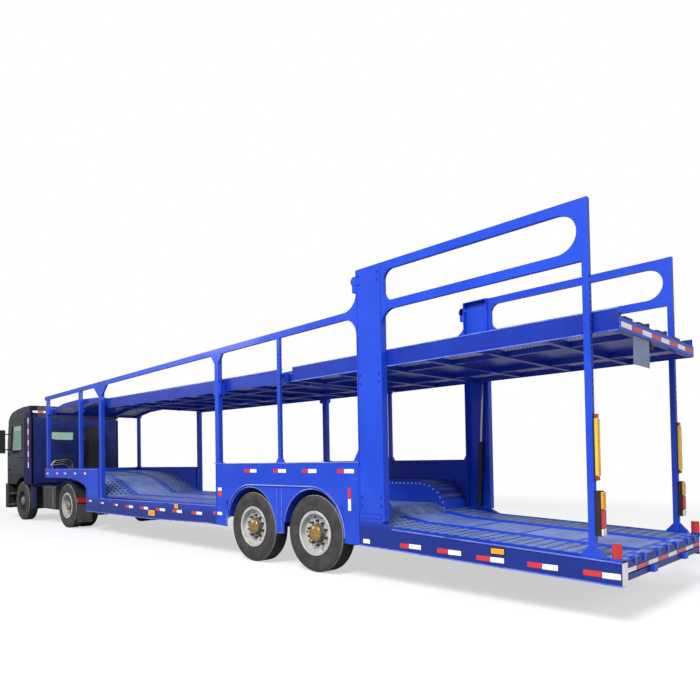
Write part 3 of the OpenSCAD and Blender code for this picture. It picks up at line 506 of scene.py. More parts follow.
# --- Reflective tape ------------------------------------------------------------------------
# Red and white conspicuity tape, a thin film with a faint honeycomb, stuck along the side
# frames, the wheel box, the gooseneck and the tail.
def tape_film(name, colour):
    material, tree = new_material(name)
    shader = tree.nodes["Principled BSDF"]
    shader.inputs["Coat Weight"].default_value = 0.6
    shader.inputs["Roughness"].default_value = 0.3
    comb = add_node(tree, "ShaderNodeTexVoronoi", Scale=220.0)
    tree.links.new(tree.nodes.new("ShaderNodeTexCoord").outputs["Object"], comb.inputs["Vector"])
    bright = [min(1, c * 1.15 + 0.01) for c in colour]
    tree.links.new(two_tone(tree, comb.outputs["Distance"], colour, bright), shader.inputs["Base Color"])
    return material

tape_red = tape_film("tape_red", (0.62, 0.015, 0.02))
tape_white = tape_film("tape_white", (0.86, 0.84, 0.86))
film_y = (side_y + 0.0003, side_y + 0.0016)
tape_gap = 0.004
# on the rear sill: colour, x from and to, middle height
sill_tapes = [("white", 2.888, 3.0, 0.51), ("red", 2.30, 2.429, 0.505), ("white", 2.131, 2.30, 0.508),
              ("red", 1.775, 1.917, 0.499), ("white", 1.612, 1.775, 0.494), ("red", 1.272, 1.434, 0.473),
              ("white", 1.116, 1.272, 0.47), ("red", 0.722, 0.873, 0.467), ("white", 0.567, 0.722, 0.462),
              ("red", 0.17, 0.337, 0.455), ("white", 0.011, 0.17, 0.449)]
# along the top of the wheel box: colour, x from and to
box_tapes = [("red", 5.248, 5.397), ("white", 5.091, 5.248), ("red", 4.597, 4.708), ("white", 4.424, 4.597),
             ("red", 3.971, 4.091), ("white", 3.806, 3.971), ("red", 3.303, 3.426), ("white", 3.131, 3.303)]
# on the front sill: x from and to of the white part
front_tapes = [(8.987, 9.154), (8.39, 8.545), (7.765, 7.943), (7.187, 7.353), (6.562, 6.729)]
# short marks on the gooseneck and its step: x and middle height
neck_marks = [(13.461, 1.289), (12.84, 1.292), (12.345, 1.294), (11.76, 1.297), (11.208, 1.3),
              (10.93, 0.697), (10.329, 0.677), (9.676, 0.663)]
# single patches at the ends of the wheel box: colour, x from and to, z from and to
patches = [("white", 5.985, 6.115, 0.66, 0.71), ("red", 6.155, 6.235, 0.66, 0.71),
           ("red", 3.19, 3.24, 1.02, 1.16), ("white", 3.19, 3.24, 0.87, 1.016),
           ("white", 5.99, 6.09, 1.05, 1.10), ("red", 5.99, 6.09, 0.96, 1.045)]
films = {"white": bmesh.new(), "red": bmesh.new()}
for colour, x0, x1, z in sill_tapes:
    bar_pair(films[colour], (x0, x1 - tape_gap), film_y, (z - 0.026, z + 0.026))
for colour, x0, x1 in box_tapes:
    bar_pair(films[colour], (x0, x1 - tape_gap), film_y, (1.345, 1.397))
for x0, x1 in front_tapes:
    bar_pair(films["white"], (x0, x1), film_y, (0.63, 0.68))
    bar_pair(films["red"], (x1 + tape_gap, x1 + 0.15), film_y, (0.63, 0.68))
for x, z in neck_marks:
    bar_pair(films["white"], (x - 0.03, x + 0.06), film_y, (z - 0.02, z + 0.02))
    bar_pair(films["red"], (x + 0.064, x + 0.15), film_y, (z - 0.02, z + 0.02))
for colour, x0, x1, z0, z1 in patches:
    bar_pair(films[colour], (x0, x1), film_y, (z0, z1))
for i in range(8):
    y = -1.19 + i * 0.3
    bar(films["white" if i % 2 else "red"], (-0.0016, y, 0.47), (-0.0003, y + 0.28, 0.51))
new_piece("white_tape", "trailer", tape_white, films["white"])
new_piece("red_tape", "trailer", tape_red, films["red"])

# --- Side marker lamps in the sills ---------------------------------------------------------
# Small oblong lamps, moulded in amber plastic with fine ribs. Each is pressed into a
# black rubber surround that is fixed to the sill.
def lens(name, colour, rib_scale=16.0):
    material, tree = new_material(name)
    shader = tree.nodes["Principled BSDF"]
    shader.inputs["Roughness"].default_value = 0.16
    shader.inputs["Coat Weight"].default_value = 0.8
    wave = add_node(tree, "ShaderNodeTexWave", Scale=rib_scale, Distortion=0.2)
    wave.bands_direction = "Z"
    tree.links.new(tree.nodes.new("ShaderNodeTexCoord").outputs["Object"], wave.inputs["Vector"])
    ribs = wave.outputs["Fac"]
    tree.links.new(two_tone(tree, ribs, [c * 0.75 for c in colour], colour), shader.inputs["Base Color"])
    add_relief(tree, ribs, 0.4, 0.002)
    return material

amber_lens = lens("amber_lens", (1.0, 0.42, 0.012))
black_rubber = surface("black_rubber", (0.010, 0.010, 0.011), (0.022, 0.022, 0.024), (0.6, 0.8), 9,
                       bump=0.2, bump_scale=120)
# middle x and z, half width, half height
marker_lamps = ((1.18, 0.56, 0.085, 0.038), (7.36, 0.738, 0.075, 0.048), (8.24, 0.575, 0.135, 0.062))
lamps, surrounds = bmesh.new(), bmesh.new()
for x, z, w, h in marker_lamps:
    bar_pair(surrounds, (x - w, x + w), (side_y, side_y + 0.006), (z - h, z + h))
    w, h = w - 0.013, h - 0.01
    bar_pair(lamps, (x - w, x + w), (side_y + 0.004, side_y + 0.014), (z - h, z + h))
new_piece("marker_lenses", "trailer", amber_lens, lamps, 0.004)
new_piece("marker_surrounds", "trailer", black_rubber, surrounds, 0.002)

# --- Tail lamps -----------------------------------------------------------------------------
# A tall amber bar lamp with red ends on each rear post, and below it a three-part cluster:
# amber above, red in the middle, white at the bottom, all in black housings.
repaint(black_rubber, "tail_lamps")
tail_lenses = {"amber": amber_lens, "yellow": lens("yellow_lens", (1.0, 0.60, 0.05)),
               "red": lens("red_lens", (0.62, 0.02, 0.02)), "white": lens("white_lens", (0.85, 0.82, 0.80))}
red_lens = tail_lenses["red"]
bar_lamp_y, cluster_y, cluster_x = (1.207, 1.272), (1.183, 1.262), (0.150, 0.169)
# colour, x from and to, y from and to, z from and to
tail_blocks = [("yellow", (0.178, 0.206), bar_lamp_y, (1.335, 1.856)),
               ("red", (0.186, 0.204), bar_lamp_y, (1.293, 1.331)),
               ("red", (0.186, 0.204), bar_lamp_y, (1.860, 1.898)),
               ("amber", cluster_x, cluster_y, (1.035, 1.19)),
               ("red", cluster_x, cluster_y, (0.865, 1.03)),
               ("white", cluster_x, cluster_y, (0.795, 0.86))]
for colour, material in tail_lenses.items():
    shape = bmesh.new()
    for block_colour, x, y, z in tail_blocks:
        if block_colour == colour:
            bar_pair(shape, x, y, z)
    new_piece("tail_" + colour + "_lens", "trailer", material, shape, 0.006, segments=3)

# --- Tail end fittings ----------------------------------------------------------------------
# Folded ramp hinges with their pins, two pull brackets, red corner markers and a pale
# reflector plate at each end of the rear beam.
shape = bmesh.new()
for y in (0.95, 0.7, 0.3, 0.0, -0.3, -0.7, -0.95):
    bar(shape, (0.0, y - 0.03, 0.572), (0.13, y + 0.03, 0.592))
    bar(shape, (-0.012, y - 0.03, 0.53), (0.0, y + 0.03, 0.592))
    rod(shape, (0.02, y - 0.045, 0.596), (0.02, y + 0.045, 0.596), 0.011)
for y in (0.50, -0.50):
    bar(shape, (-0.03, y - 0.05, 0.40), (0.0, y - 0.038, 0.46))
    bar(shape, (-0.03, y + 0.038, 0.40), (0.0, y + 0.05, 0.46))
    bar(shape, (-0.04, y - 0.05, 0.40), (-0.03, y + 0.05, 0.46))
bar_pair(shape, (0.01, 0.10), (1.20, side_y), (0.58, 0.60))
new_piece("tail_hinges", "trailer", trailer_blue, shape, 0.003)
shape = bmesh.new()
for side in sides:
    rod(shape, (0.055, side * 1.225, 0.60), (0.055, side * 1.225, 0.735), 0.042)
new_piece("corner_markers", "trailer", red_lens, shape, 0.004)
shape = bmesh.new()
bar_pair(shape, (-0.002, -0.0004), (1.14, 1.27), (0.365, 0.565))
new_piece("end_plates", "trailer", tape_white, shape)

# --- Pin holes and brackets on the posts ----------------------------------------------------
# The rear and middle posts are drilled at even steps for the deck's locking pins. Bolted
# brackets join deck, posts and towers, and three posts on each side stand on foot plates.
bare_steel = surface("bare_steel", (0.33, 0.33, 0.34), (0.55, 0.55, 0.57), (0.3, 0.5), 30,
                     metallic=1.0, bump=0.2)
dark_hole = surface("dark_bore", (0.003, 0.004, 0.010), (0.008, 0.010, 0.022), (0.7, 0.9), 20)
pin_pitch, hole_facets = 0.06, 14
bolt_x, bolt_z = (2.70, 3.0), (3.80, 3.70, 2.56, 2.46, 0.95, 1.05)
holes, plates, bolts = bmesh.new(), bmesh.new(), bmesh.new()

def hole(a, b, radius):
    rod(holes, a, b, radius, hole_facets)

for side in sides:
    for i in range(19):
        z = 2.08 + i * pin_pitch
        for x in (0.2188, 0.2801):
            hole((x, side * 1.245, z), (x + 0.0011, side * 1.245, z), 0.013)
    for i in range(27):
        z = 1.60 + i * pin_pitch
        hole((4.5288, side * 1.2525, z), (4.5299, side * 1.2525, z), 0.011)
        hole((4.56, side * 1.2751, z), (4.56, side * 1.2762, z), 0.011)
    for i in range(16):
        x = 3.3 + i * 0.17
        hole((x, side * 1.2145, 1.455), (x, side * 1.2138, 1.455), 0.016)
    # round boss of the tower's front bracket
    rod(plates, (3.085, side * 1.20, 3.76), (3.085, side * 1.274, 3.76), 0.055)
    for x in bolt_x:
        for z in bolt_z:
            rod(bolts, (x, side * side_y, z), (x, side * (side_y + 0.011), z), 0.014, 6)
bar_pair(plates, (3.0505, 3.12), (1.20, 1.268), (3.62, 3.82))
bar_pair(plates, bolt_x, (1.2752, 1.283), (0.79, 0.84))
for x, z in ((6.10, 1.4915), (10.44, 0.7745), (13.50, 1.4015)):
    bar_pair(plates, (x - 0.10, x + 0.10), (1.19, 1.274), (z, z + 0.012))
for x0, x1, z in ((6.0, 6.2, 2.60), (13.38, 13.62, 2.77)):
    bar_pair(plates, (x0, x1), (1.172, 1.268), (z, z + 0.18))
for z in (2.70, 2.84):
    bar(plates, (11.465, 1.168, z), (11.575, 1.2045, z + 0.06))
new_piece("pin_holes", "trailer", dark_hole, holes)
new_piece("post_brackets", "trailer", trailer_blue, plates, 0.004)
# The bolts are the darker painted-shade blue, so they read as dark marks.
new_piece("bracket_bolts", "trailer", painted_shade_blue, bolts, 0.002)

# --- Tail of the rear upper deck --------------------------------------------------------------
# A pressed end cap with tape along it, and black buffers and lashing knobs on its top edge;
# the blank number plate hangs below in a steel frame, with a small lamp beside it.
cap_half, cap_top = 1.16, 2.768
end_cap, buffers, deck_red, deck_white = bmesh.new(), bmesh.new(), bmesh.new(), bmesh.new()
bar(end_cap, (0.004, -cap_half, 2.645), (0.0148, cap_half, 2.76))
bar(end_cap, (0.004, -cap_half, 2.76), (0.10, cap_half, cap_top))
for i in range(8):
    y = -1.10 + i * 0.28
    bar(deck_white if i % 2 else deck_red, (0.0025, y, 2.675), (0.0038, y + 0.26, 2.725))
for y in (-0.92, -0.55, 0.0, 0.55, 0.92):
    bar(buffers, (0.006, y - 0.11, cap_top + 0.0005), (0.09, y + 0.11, 2.79))
for y in (-1.05, -0.28, 0.28, 1.05):
    rod(buffers, (0.05, y, cap_top), (0.05, y, 2.83), 0.022)
new_piece("deck_end_cap", "rear_deck", trailer_blue, end_cap, 0.003)
new_piece("deck_buffers", "rear_deck", black_rubber, buffers, 0.006)
new_piece("deck_red_tape", "rear_deck", tape_red, deck_red)
new_piece("deck_white_tape", "rear_deck", tape_white, deck_white)

plate_paint = surface("plate_paint", (0.16, 0.21, 0.34), (0.22, 0.28, 0.42), (0.35, 0.5), 8)
repaint(plate_paint, "number_plate")
plate_x, plate_y, plate_z, frame_w = (0.016, 0.0178), (0.34, 0.78), (2.37, 2.644), 0.012
shape = bmesh.new()
for z in (plate_z[0], plate_z[1] - frame_w):
    bar(shape, (plate_x[0], plate_y[0], z), (plate_x[1], plate_y[1], z + frame_w))
for y in (plate_y[0], plate_y[1] - frame_w):
    bar(shape, (plate_x[0], y, plate_z[0] + frame_w), (plate_x[1], y + frame_w, plate_z[1] - frame_w))
for y in (0.40, 0.72):
    bar(shape, (0.0225, y - 0.02, 2.38), (0.03, y + 0.02, 2.6455))
new_piece("plate_frame", "rear_deck", bare_steel, shape, 0.0005)
shape = bmesh.new()
rod(shape, (0.015, 0.25, 2.59), (0.06, 0.25, 2.59), 0.035)
bar(shape, (0.03, 0.235, 2.60), (0.05, 0.265, 2.6455))
new_piece("plate_lamp", "rear_deck", black_rubber, shape, 0.004)

# --- Tyres ----------------------------------------------------------------------------------
# Radial truck tyres, 11R22.5: black rubber with four grooves round the tread, notched
# shoulders and a smooth bulging sidewall with a protector rib near the rim.
wheel_z, outer_y, inner_y = 0.525, 1.096, 0.781
lugs, lug_share = 54, 0.62
tread_r, groove_r, tread_half = 0.5248, 0.511, 0.099
groove_y, groove_top, groove_floor = (-0.066, -0.022, 0.022, 0.066), 0.0065, 0.0045
tyre_rubber = surface("tyre_rubber", (0.022, 0.021, 0.020), (0.060, 0.056, 0.052), (0.6, 0.82), 7,
                      bump=0.35, bump_scale=90)
groove_black = surface("groove_black", (0.002, 0.002, 0.002), (0.006, 0.006, 0.006), (0.85, 0.95), 20)
# body, tyre node, x, and how far each tyre's middle plane lies from the truck's centre line
wheel_sets = [("steer_wheel", "steer_tyre", 15.50, [outer_y]),
              ("drive_wheels", "drive_tyres", 12.40, [inner_y, outer_y]),
              ("bogie_wheel_1", "bogie_tyre_1", bogie_x[0], [outer_y]),
              ("bogie_wheel_2", "bogie_tyre_2", bogie_x[1], [outer_y])]
named_sides = (("left", 1), ("right", -1))
tread = []
edge = -tread_half
for g in groove_y:
    tread += [(tread_r, edge), (tread_r, g - groove_top), (groove_r, g - groove_floor),
              (groove_r, g + groove_floor)]
    edge = g + groove_top
tread += [(tread_r, edge), (tread_r, tread_half)]
sidewall = [(0.519, 0.110), (0.512, 0.121), (0.495, 0.129), (0.462, 0.136), (0.43, 0.1385),
            (0.405, 0.1385), (0.375, 0.133), (0.352, 0.1265), (0.345, 0.1285), (0.335, 0.1275),
            (0.325, 0.121), (0.305, 0.1145), (0.288, 0.113)]
section = [(r, -y) for r, y in sidewall[::-1]] + tread + sidewall

def on_wheel(shape, x, y, radius, angle):
    return shape.verts.new((x + tail + radius * math.cos(angle), y, wheel_z + radius * math.sin(angle)))

def tyre(shape, x, y):
    rings = []
    for i in range(lugs * 2):
        angle = 2 * math.pi * (i // 2 + (lug_share if i % 2 else 0.0)) / lugs
        rings.append([on_wheel(shape, x, y + w, r, angle) for r, w in section])
    for a, b in zip(rings, rings[1:] + rings[:1]):
        for k in range(len(section) - 1):
            shape.faces.new((a[k], a[k + 1], b[k + 1], b[k]))
        shape.faces.new((a[-1], a[0], b[0], b[-1]))

# one notch: turn from its middle, radius and distance from the tyre's middle plane
notch_corners = ((-0.014, 0.5252, 0.078), (0.014, 0.5252, 0.078), (0.014, 0.5252, 0.0985),
                 (-0.014, 0.5252, 0.0985), (-0.014, 0.5065, 0.1255), (0.014, 0.5065, 0.1255))

def notches(shape, x, y):
    for i in range(lugs):
        middle = 2 * math.pi * (i + 0.81) / lugs
        for side in sides:
            v = [on_wheel(shape, x, y + side * w, r, middle + turn) for turn, r, w in notch_corners]
            shape.faces.new((v[0], v[1], v[2], v[3]))
            shape.faces.new((v[3], v[2], v[5], v[4]))

for body, node, x, offsets in wheel_sets:
    for name, side in named_sides:
        rubber, cuts = bmesh.new(), bmesh.new()
        for y in offsets:
            tyre(rubber, x, side * y)
            notches(cuts, x, side * y)
        wheel, tyre_node = body + "_" + name, node + "_" + name
        piece = new_piece(tyre_node + "_rubber", wheel, tyre_rubber, rubber, smooth=True)
        crease = piece.modifiers.new("crease", "EDGE_SPLIT")
        crease.split_angle = math.radians(35)
        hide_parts(tyre_node)
        new_piece(tyre_node + "_sipes", wheel, groove_black, cuts)

# --- Rims, nuts and hub caps ------------------------------------------------------------------
# Powder-coated disc wheels, pale at the drive and trailer axles; the front ones are near-black as
# painted shade. Ten nuts hold each to the hub, which is closed by a domed cap, gold lacquered on
# the trailer.
rim_white = surface("rim_white", (0.36, 0.36, 0.35), (0.66, 0.66, 0.64), (0.3, 0.5), 5, bump=0.06)
# The front rims are near-black: painted shade.
shaded_steer_rim = surface("shaded_steer_rim", (0.02, 0.02, 0.021), (0.05, 0.05, 0.052), (0.4, 0.6), 5, bump=0.06)
cap_grey = surface("cap_grey", (0.16, 0.16, 0.155), (0.34, 0.33, 0.31), (0.4, 0.6), 9, metallic=0.4)
hub_dark = surface("hub_dark", (0.06, 0.05, 0.045), (0.16, 0.14, 0.12), (0.4, 0.7), 12, bump=0.3)
cap_gold = surface("cap_gold", (0.42, 0.24, 0.07), (0.62, 0.40, 0.14), (0.25, 0.42), 9, metallic=0.8)
nut_zinc = surface("nut_zinc", (0.45, 0.45, 0.44), (0.70, 0.70, 0.68), (0.3, 0.5), 40, metallic=0.9)
nut_dark = surface("nut_dark", (0.035, 0.032, 0.030), (0.12, 0.11, 0.10), (0.4, 0.6), 40, metallic=0.5)
shoulder_dust = surface("shoulder_dust", (0.14, 0.135, 0.13), (0.34, 0.33, 0.32), (0.7, 0.9), 26, bump=0.3)
nut_circle, cap_bolt_circle = 0.1675, 0.093
rim_edge_y = outer_y + 0.126
lip_profile = [(0.302, rim_edge_y - 0.012), (0.3055, rim_edge_y - 0.004), (0.303, rim_edge_y + 0.004),
               (0.296, rim_edge_y + 0.006), (0.288, rim_edge_y + 0.001), (0.280, rim_edge_y - 0.02),
               (0.2675, rim_edge_y - 0.045), (0.2672, rim_edge_y - 0.06)]
dust_profile = [(0.5192, 1.2073), (0.5163, 1.2125), (0.5125, 1.2178)]

def turned(shape, x, side, profile, facets=64):
    angles = [2 * math.pi * i / facets for i in range(facets)]
    rings = [[on_wheel(shape, x, side * y, r, t) for t in angles] for r, y in profile]
    for a, b in zip(rings, rings[1:]):
        for i in range(facets):
            k = (i + 1) % facets
            shape.faces.new((a[i], a[k], b[k], b[i]))

def ring_of_studs(shape, x, side, circle, count, turn, y0, y1, radius, facets):
    for i in range(count):
        angle = 2 * math.pi * (i + turn) / count
        px, pz = x + circle * math.cos(angle), wheel_z + circle * math.sin(angle)
        rod(shape, (px, side * y0, pz), (px, side * y1, pz), radius, facets)

def dress_rim(body, node, x, side, name, twin):
    rims, wheel = node.replace("tyre", "rim") + "_" + name, body + "_" + name
    rim_colour = shaded_steer_rim if body == "steer_wheel" else rim_white
    gloss = cap_gold if body.startswith("bogie") else cap_grey
    disc_y, hub_y, hub_r = (0.9855, 1.1885, 0.11) if twin else (1.1465, 1.206, 0.12)
    repaint(rim_colour, rims)
    nuts, flange, cap, lip, dust = [bmesh.new() for _ in range(5)]
    ring_of_studs(nuts, x, side, nut_circle, 10, 0.5, disc_y, disc_y + 0.032, 0.019, 6)
    ring_of_studs(nuts, x, side, nut_circle, 10, 0.5, disc_y + 0.03, disc_y + 0.055, 0.011, 10)
    ring_of_studs(nuts, x, side, cap_bolt_circle, 8, 0, hub_y + 0.016, hub_y + 0.024, 0.007, 6)
    turned(flange, x, side, [(0.002, disc_y + 0.001), (0.135, disc_y + 0.001), (0.135, disc_y + 0.012),
                             (0.122, disc_y + 0.03), (hub_r + 0.002, disc_y + 0.04),
                             (hub_r + 0.002, hub_y + 0.002), (0.002, hub_y + 0.002)])
    turned(cap, x, side, [(0.106, hub_y + 0.002), (0.106, hub_y + 0.014), (0.094, hub_y + 0.018),
                          (0.085, hub_y + 0.019), (0.078, hub_y + 0.027), (0.055, hub_y + 0.031),
                          (0.03, hub_y + 0.032), (0.0005, hub_y + 0.032)])
    turned(lip, x, side, lip_profile)
    turned(dust, x, side, dust_profile, 108)
    new_piece(node + "_" + name + "_shoulder", wheel, shoulder_dust, dust, smooth=True)
    new_piece(rims + "_nuts", wheel, nut_dark, nuts)
    new_piece(rims + "_hub", wheel, hub_dark, flange, 0.002)
    new_piece(rims + "_cap", wheel, gloss, cap, smooth=True)
    new_piece(rims + "_lip", wheel, rim_colour, lip, smooth=True)

for body, node, x, offsets in wheel_sets:
    for name, side in named_sides:
        dress_rim(body, node, x, side, name, len(offsets) == 2)

# --- Axles, springs and chassis ---------------------------------------------------------------
# Forged and pressed steel in black chassis paint under road dust, with the lift cylinders'
# barrels in the same paint and their rods in hard chrome.
chassis_black = surface("chassis_black", (0.012, 0.012, 0.013), (0.045, 0.043, 0.040), (0.45, 0.75), 5,
                        bump=0.25, bump_scale=70)
cast_engine = surface("cast_engine", (0.05, 0.05, 0.05), (0.14, 0.135, 0.13), (0.5, 0.8), 8,
                      metallic=0.4, bump=0.5)
rod_chrome = surface("rod_chrome", (0.62, 0.62, 0.64), (0.80, 0.80, 0.82), (0.08, 0.18), 12, metallic=1.0)
repaint(chassis_black, "tractor_frame", "front_axle", "drive_axle", "fifth_wheel", "trailer_axles",
        "landing_legs", "lift_barrel_left", "lift_barrel_right", "drive_mudguards", "battery_box",
        "knuckle_left", "knuckle_right")
repaint(cast_engine, "engine_block")
repaint(rod_chrome, "lift_rod_left", "lift_rod_right")

# --- Cab body -----------------------------------------------------------------------------------
# Pressed steel panels in dark navy under clear lacquer, with grained black plastic for the
# bumper, steps, mirrors and dashboard, cloth seats and lightly tinted green glass.
cab_navy = surface("cab_navy", (0.0030, 0.0050, 0.014), (0.007, 0.010, 0.028), (0.16, 0.30), 3,
                   bump=0.04, coat=0.25, specular=0.35)
trim_black = surface("trim_black", (0.010, 0.010, 0.011), (0.026, 0.026, 0.028), (0.45, 0.65), 14,
                     bump=0.3, bump_scale=200)
seat_cloth = surface("seat_cloth", (0.020, 0.021, 0.024), (0.055, 0.056, 0.06), (0.8, 0.95), 30,
                     bump=0.6, bump_scale=400)
repaint(cab_navy, "cab_shell", "cab_roof", "cab_front", "door_left", "door_right")
repaint(trim_black, "mirrors", "dashboard", "intake_stack", "cab_steps", "front_bumper")
repaint(seat_cloth, "seats")

def tinted_glass(name, dark, light):
    material, tree = new_material(name)
    shader = tree.nodes["Principled BSDF"]
    shader.inputs["Transmission Weight"].default_value = 0.92
    shader.inputs["IOR"].default_value = 1.45
    film = noise(tree, tree.nodes.new("ShaderNodeTexCoord").outputs["Object"], Scale=2.0, Detail=3.0)
    tree.links.new(two_tone(tree, film, dark, light), shader.inputs["Base Color"])
    tree.links.new(map_range(tree, film, end=(0.02, 0.07)), shader.inputs["Roughness"])
    return material

glass_tint = tinted_glass("glass_tint", (0.50, 0.66, 0.60), (0.66, 0.80, 0.74))
repaint(glass_tint, "cab_glass", "door_glass_left", "door_glass_right")

# --- Back wall of the cab -------------------------------------------------------------------------
# Flat sheets painted navy close the wall round the two rear windows; a ribbed panel is fixed
# under each window, and a raised panel above them.
back_panel = surface("back_panel", (0.008, 0.014, 0.10), (0.018, 0.030, 0.19), (0.4, 0.55), 4, specular=0.3)
back_x = 14.7495
window_y = (0.10, 0.70)
panels, sheets = bmesh.new(), bmesh.new()
for side in sides:
    y0, y1 = on_side(side, window_y)
    bar(panels, (14.738, y0, 1.84), (back_x, y1, 2.12))
    for i in range(5):
        z = 1.87 + i * 0.05
        bar(panels, (14.73, y0 + 0.03, z), (14.738, y1 - 0.03, z + 0.02))
bar(panels, (14.738, -1.04, 2.50), (back_x, 1.04, 2.74))
# y from and to, z from and to
wall_sheets = ((-1.18, 1.18, 1.02, 2.155), (-1.18, 1.18, 2.435, 2.79), (-0.065, 0.065, 2.155, 2.435),
               (0.735, 1.18, 2.155, 2.435), (-1.18, -0.735, 2.155, 2.435))
for y0, y1, z0, z1 in wall_sheets:
    bar(sheets, (14.7465, y0, z0), (14.7496, y1, z1))
new_piece("back_panels", "tractor", back_panel, panels, 0.004)
new_piece("back_wall_sheets", "tractor", back_panel, sheets)

# --- Cab trim -------------------------------------------------------------------------------------
# Black rubber round the windscreen and the rear windows, drip rails, grille bars in a grey
# frame, and navy wind deflectors behind the doors with corner panels below them.
cab_skin = 1.2302
window_z, seal_w = (2.19, 2.40), 0.03
trim = bmesh.new()
for side in sides:
    y0, y1 = on_side(side, window_y)
    for z in (window_z[0] - seal_w, window_z[1]):
        bar(trim, (14.744, y0 - seal_w, z), (back_x, y1 + seal_w, z + seal_w))
    for y in (y0 - seal_w, y1):
        bar(trim, (14.744, y, window_z[0]), (back_x, y + seal_w, window_z[1]))
bar_pair(trim, (14.95, 16.45), (cab_skin, 1.238), (2.796, 2.812))
screen_corners = [(16.786, -1.12, 1.752), (16.786, 1.12, 1.752), (16.626, 1.12, 2.70), (16.626, -1.12, 2.70)]
for a, b in zip(screen_corners, screen_corners[1:] + screen_corners[:1]):
    rod(trim, a, b, 0.014, 10)
new_piece("cab_seals", "tractor", black_rubber, trim, 0.003)

grille_x, grille_y, grille_z = 16.8002, 1.12, (1.0, 1.70)
grille_frame, bars = bmesh.new(), bmesh.new()
for z in grille_z:
    bar(grille_frame, (grille_x, -grille_y, z), (16.828, grille_y, z + 0.03))
for y in (-grille_y, grille_y - 0.03):
    bar(grille_frame, (grille_x, y, grille_z[0] + 0.03), (16.828, y + 0.03, grille_z[1]))
bar(grille_frame, (16.822, -0.98, 1.395), (16.832, 0.98, 1.425))
new_piece("grille_frame", "tractor", cap_grey, grille_frame, 0.004)
for z in (1.20, 1.48, 1.66):
    bar(bars, (14.74, -1.04, z), (back_x, 1.04, z + 0.03))
for i in range(7):
    z = 1.08 + i * 0.09
    bar(bars, (grille_x, -1.0, z), (16.822, 1.0, z + 0.04))
bar(bars, (grille_x, -1.08, 1.02), (16.806, 1.08, 1.70))
new_piece("grille_bars", "tractor", trim_black, bars, 0.004)

fairing_navy = surface("fairing_navy", (0.004, 0.006, 0.042), (0.010, 0.014, 0.10), (0.55, 0.75), 2.5,
                       bump=0.05, specular=0.18)
fairings = bmesh.new()
fairing_y, corner_y, corner_x = (1.2303, 1.2343), (1.19, 1.225), (14.46, 14.75)
bar_pair(fairings, (14.76, 15.33), fairing_y, (0.99, 2.79))
bar_pair(fairings, (14.77, 15.20), fairing_y, (2.82, 2.93))
for side in sides:
    lo, hi = on_side(side, corner_y)
    bar(fairings, (corner_x[0], lo, 0.36), (corner_x[1], hi, 0.97))
    bar(fairings, (corner_x[0], min(lo, side), 0.93), (corner_x[1], max(hi, side), 0.97))
new_piece("side_fairings", "tractor", fairing_navy, fairings, 0.008)

# --- Door trim --------------------------------------------------------------------------------------
# Each door has a rubber seal round its window, a rubbing strip low down and a black bow
# handle; all of it swings with the door.
door_skin = 1.2303
window_line = [(15.52, 1.92), (16.44, 1.92), (16.32, 2.62), (15.52, 2.62), (15.52, 1.92)]
for name, side in named_sides:
    seal, handle = bmesh.new(), bmesh.new()
    bead(seal, window_line, side * 1.23215, 0.012, 10)
    lo, hi = on_side(side, (door_skin, 1.236))
    bar(seal, (15.43, lo, 1.25), (16.55, hi, 1.275))
    lo, hi = on_side(side, (door_skin, 1.262))
    for x in (15.50, 15.68):
        bar(handle, (x, lo, 1.70), (x + 0.03, hi, 1.74))
    lo, hi = on_side(side, (1.250, 1.264))
    bar(handle, (15.50, lo, 1.705), (15.71, hi, 1.735))
    new_piece("door_seal_" + name, "door_" + name, black_rubber, seal)
    new_piece("door_handle_" + name, "door_" + name, trim_black, handle, 0.005)

# --- Front lamps, wipers and visor ---------------------------------------------------------------
# Headlamps sit in the bumper behind ribbed lenses, with indicators above, fog lamps below, and
# intake slats and a blank plate between them. The wipers park along the foot of the
# windscreen and a visor shades its top; wipers, slats and visor are black plastic.
clear_lens = lens("clear_lens", (0.78, 0.80, 0.82), 6.0)
lamp_y, bumper_x = 0.9, 16.9485
bowls, blades = bmesh.new(), bmesh.new()
fogs, indicators, intake, blank = bmesh.new(), bmesh.new(), bmesh.new(), bmesh.new()
for y in (-lamp_y, lamp_y):
    bar(bowls, (16.902, y - 0.185, 0.525), (16.925, y + 0.185, 0.715))
    rod(fogs, (bumper_x, y, 0.42), (16.954, y, 0.42), 0.055)
    bar(indicators, (bumper_x, y - 0.19, 0.755), (16.954, y + 0.19, 0.785))
for y in (-0.55, 0.25):
    rod(blades, (16.80, y, 1.775), (16.775, y + 0.72, 1.93), 0.011, 8)
    rod(blades, (16.803, y, 1.765), (16.789, y + 0.36, 1.85), 0.015, 8)
bar(blades, (16.55, -1.02, 2.73), (16.70, 1.02, 2.745))
for i in range(4):
    z = 0.335 + i * 0.045
    bar(intake, (bumper_x, -0.45, z), (16.955, 0.45, z + 0.025))
bar(blank, (bumper_x, -0.26, 0.60), (16.9535, 0.26, 0.72))
new_piece("headlamps", "tractor", clear_lens, bowls, 0.02, segments=4)
new_piece("fog_lamps", "tractor", clear_lens, fogs, 0.002)
new_piece("front_indicators", "tractor", amber_lens, indicators, 0.002)
new_piece("bumper_intake", "tractor", trim_black, intake, 0.002)
new_piece("front_plate", "tractor", plate_paint, blank, 0.002)
new_piece("wipers_and_visor", "tractor", trim_black, blades)

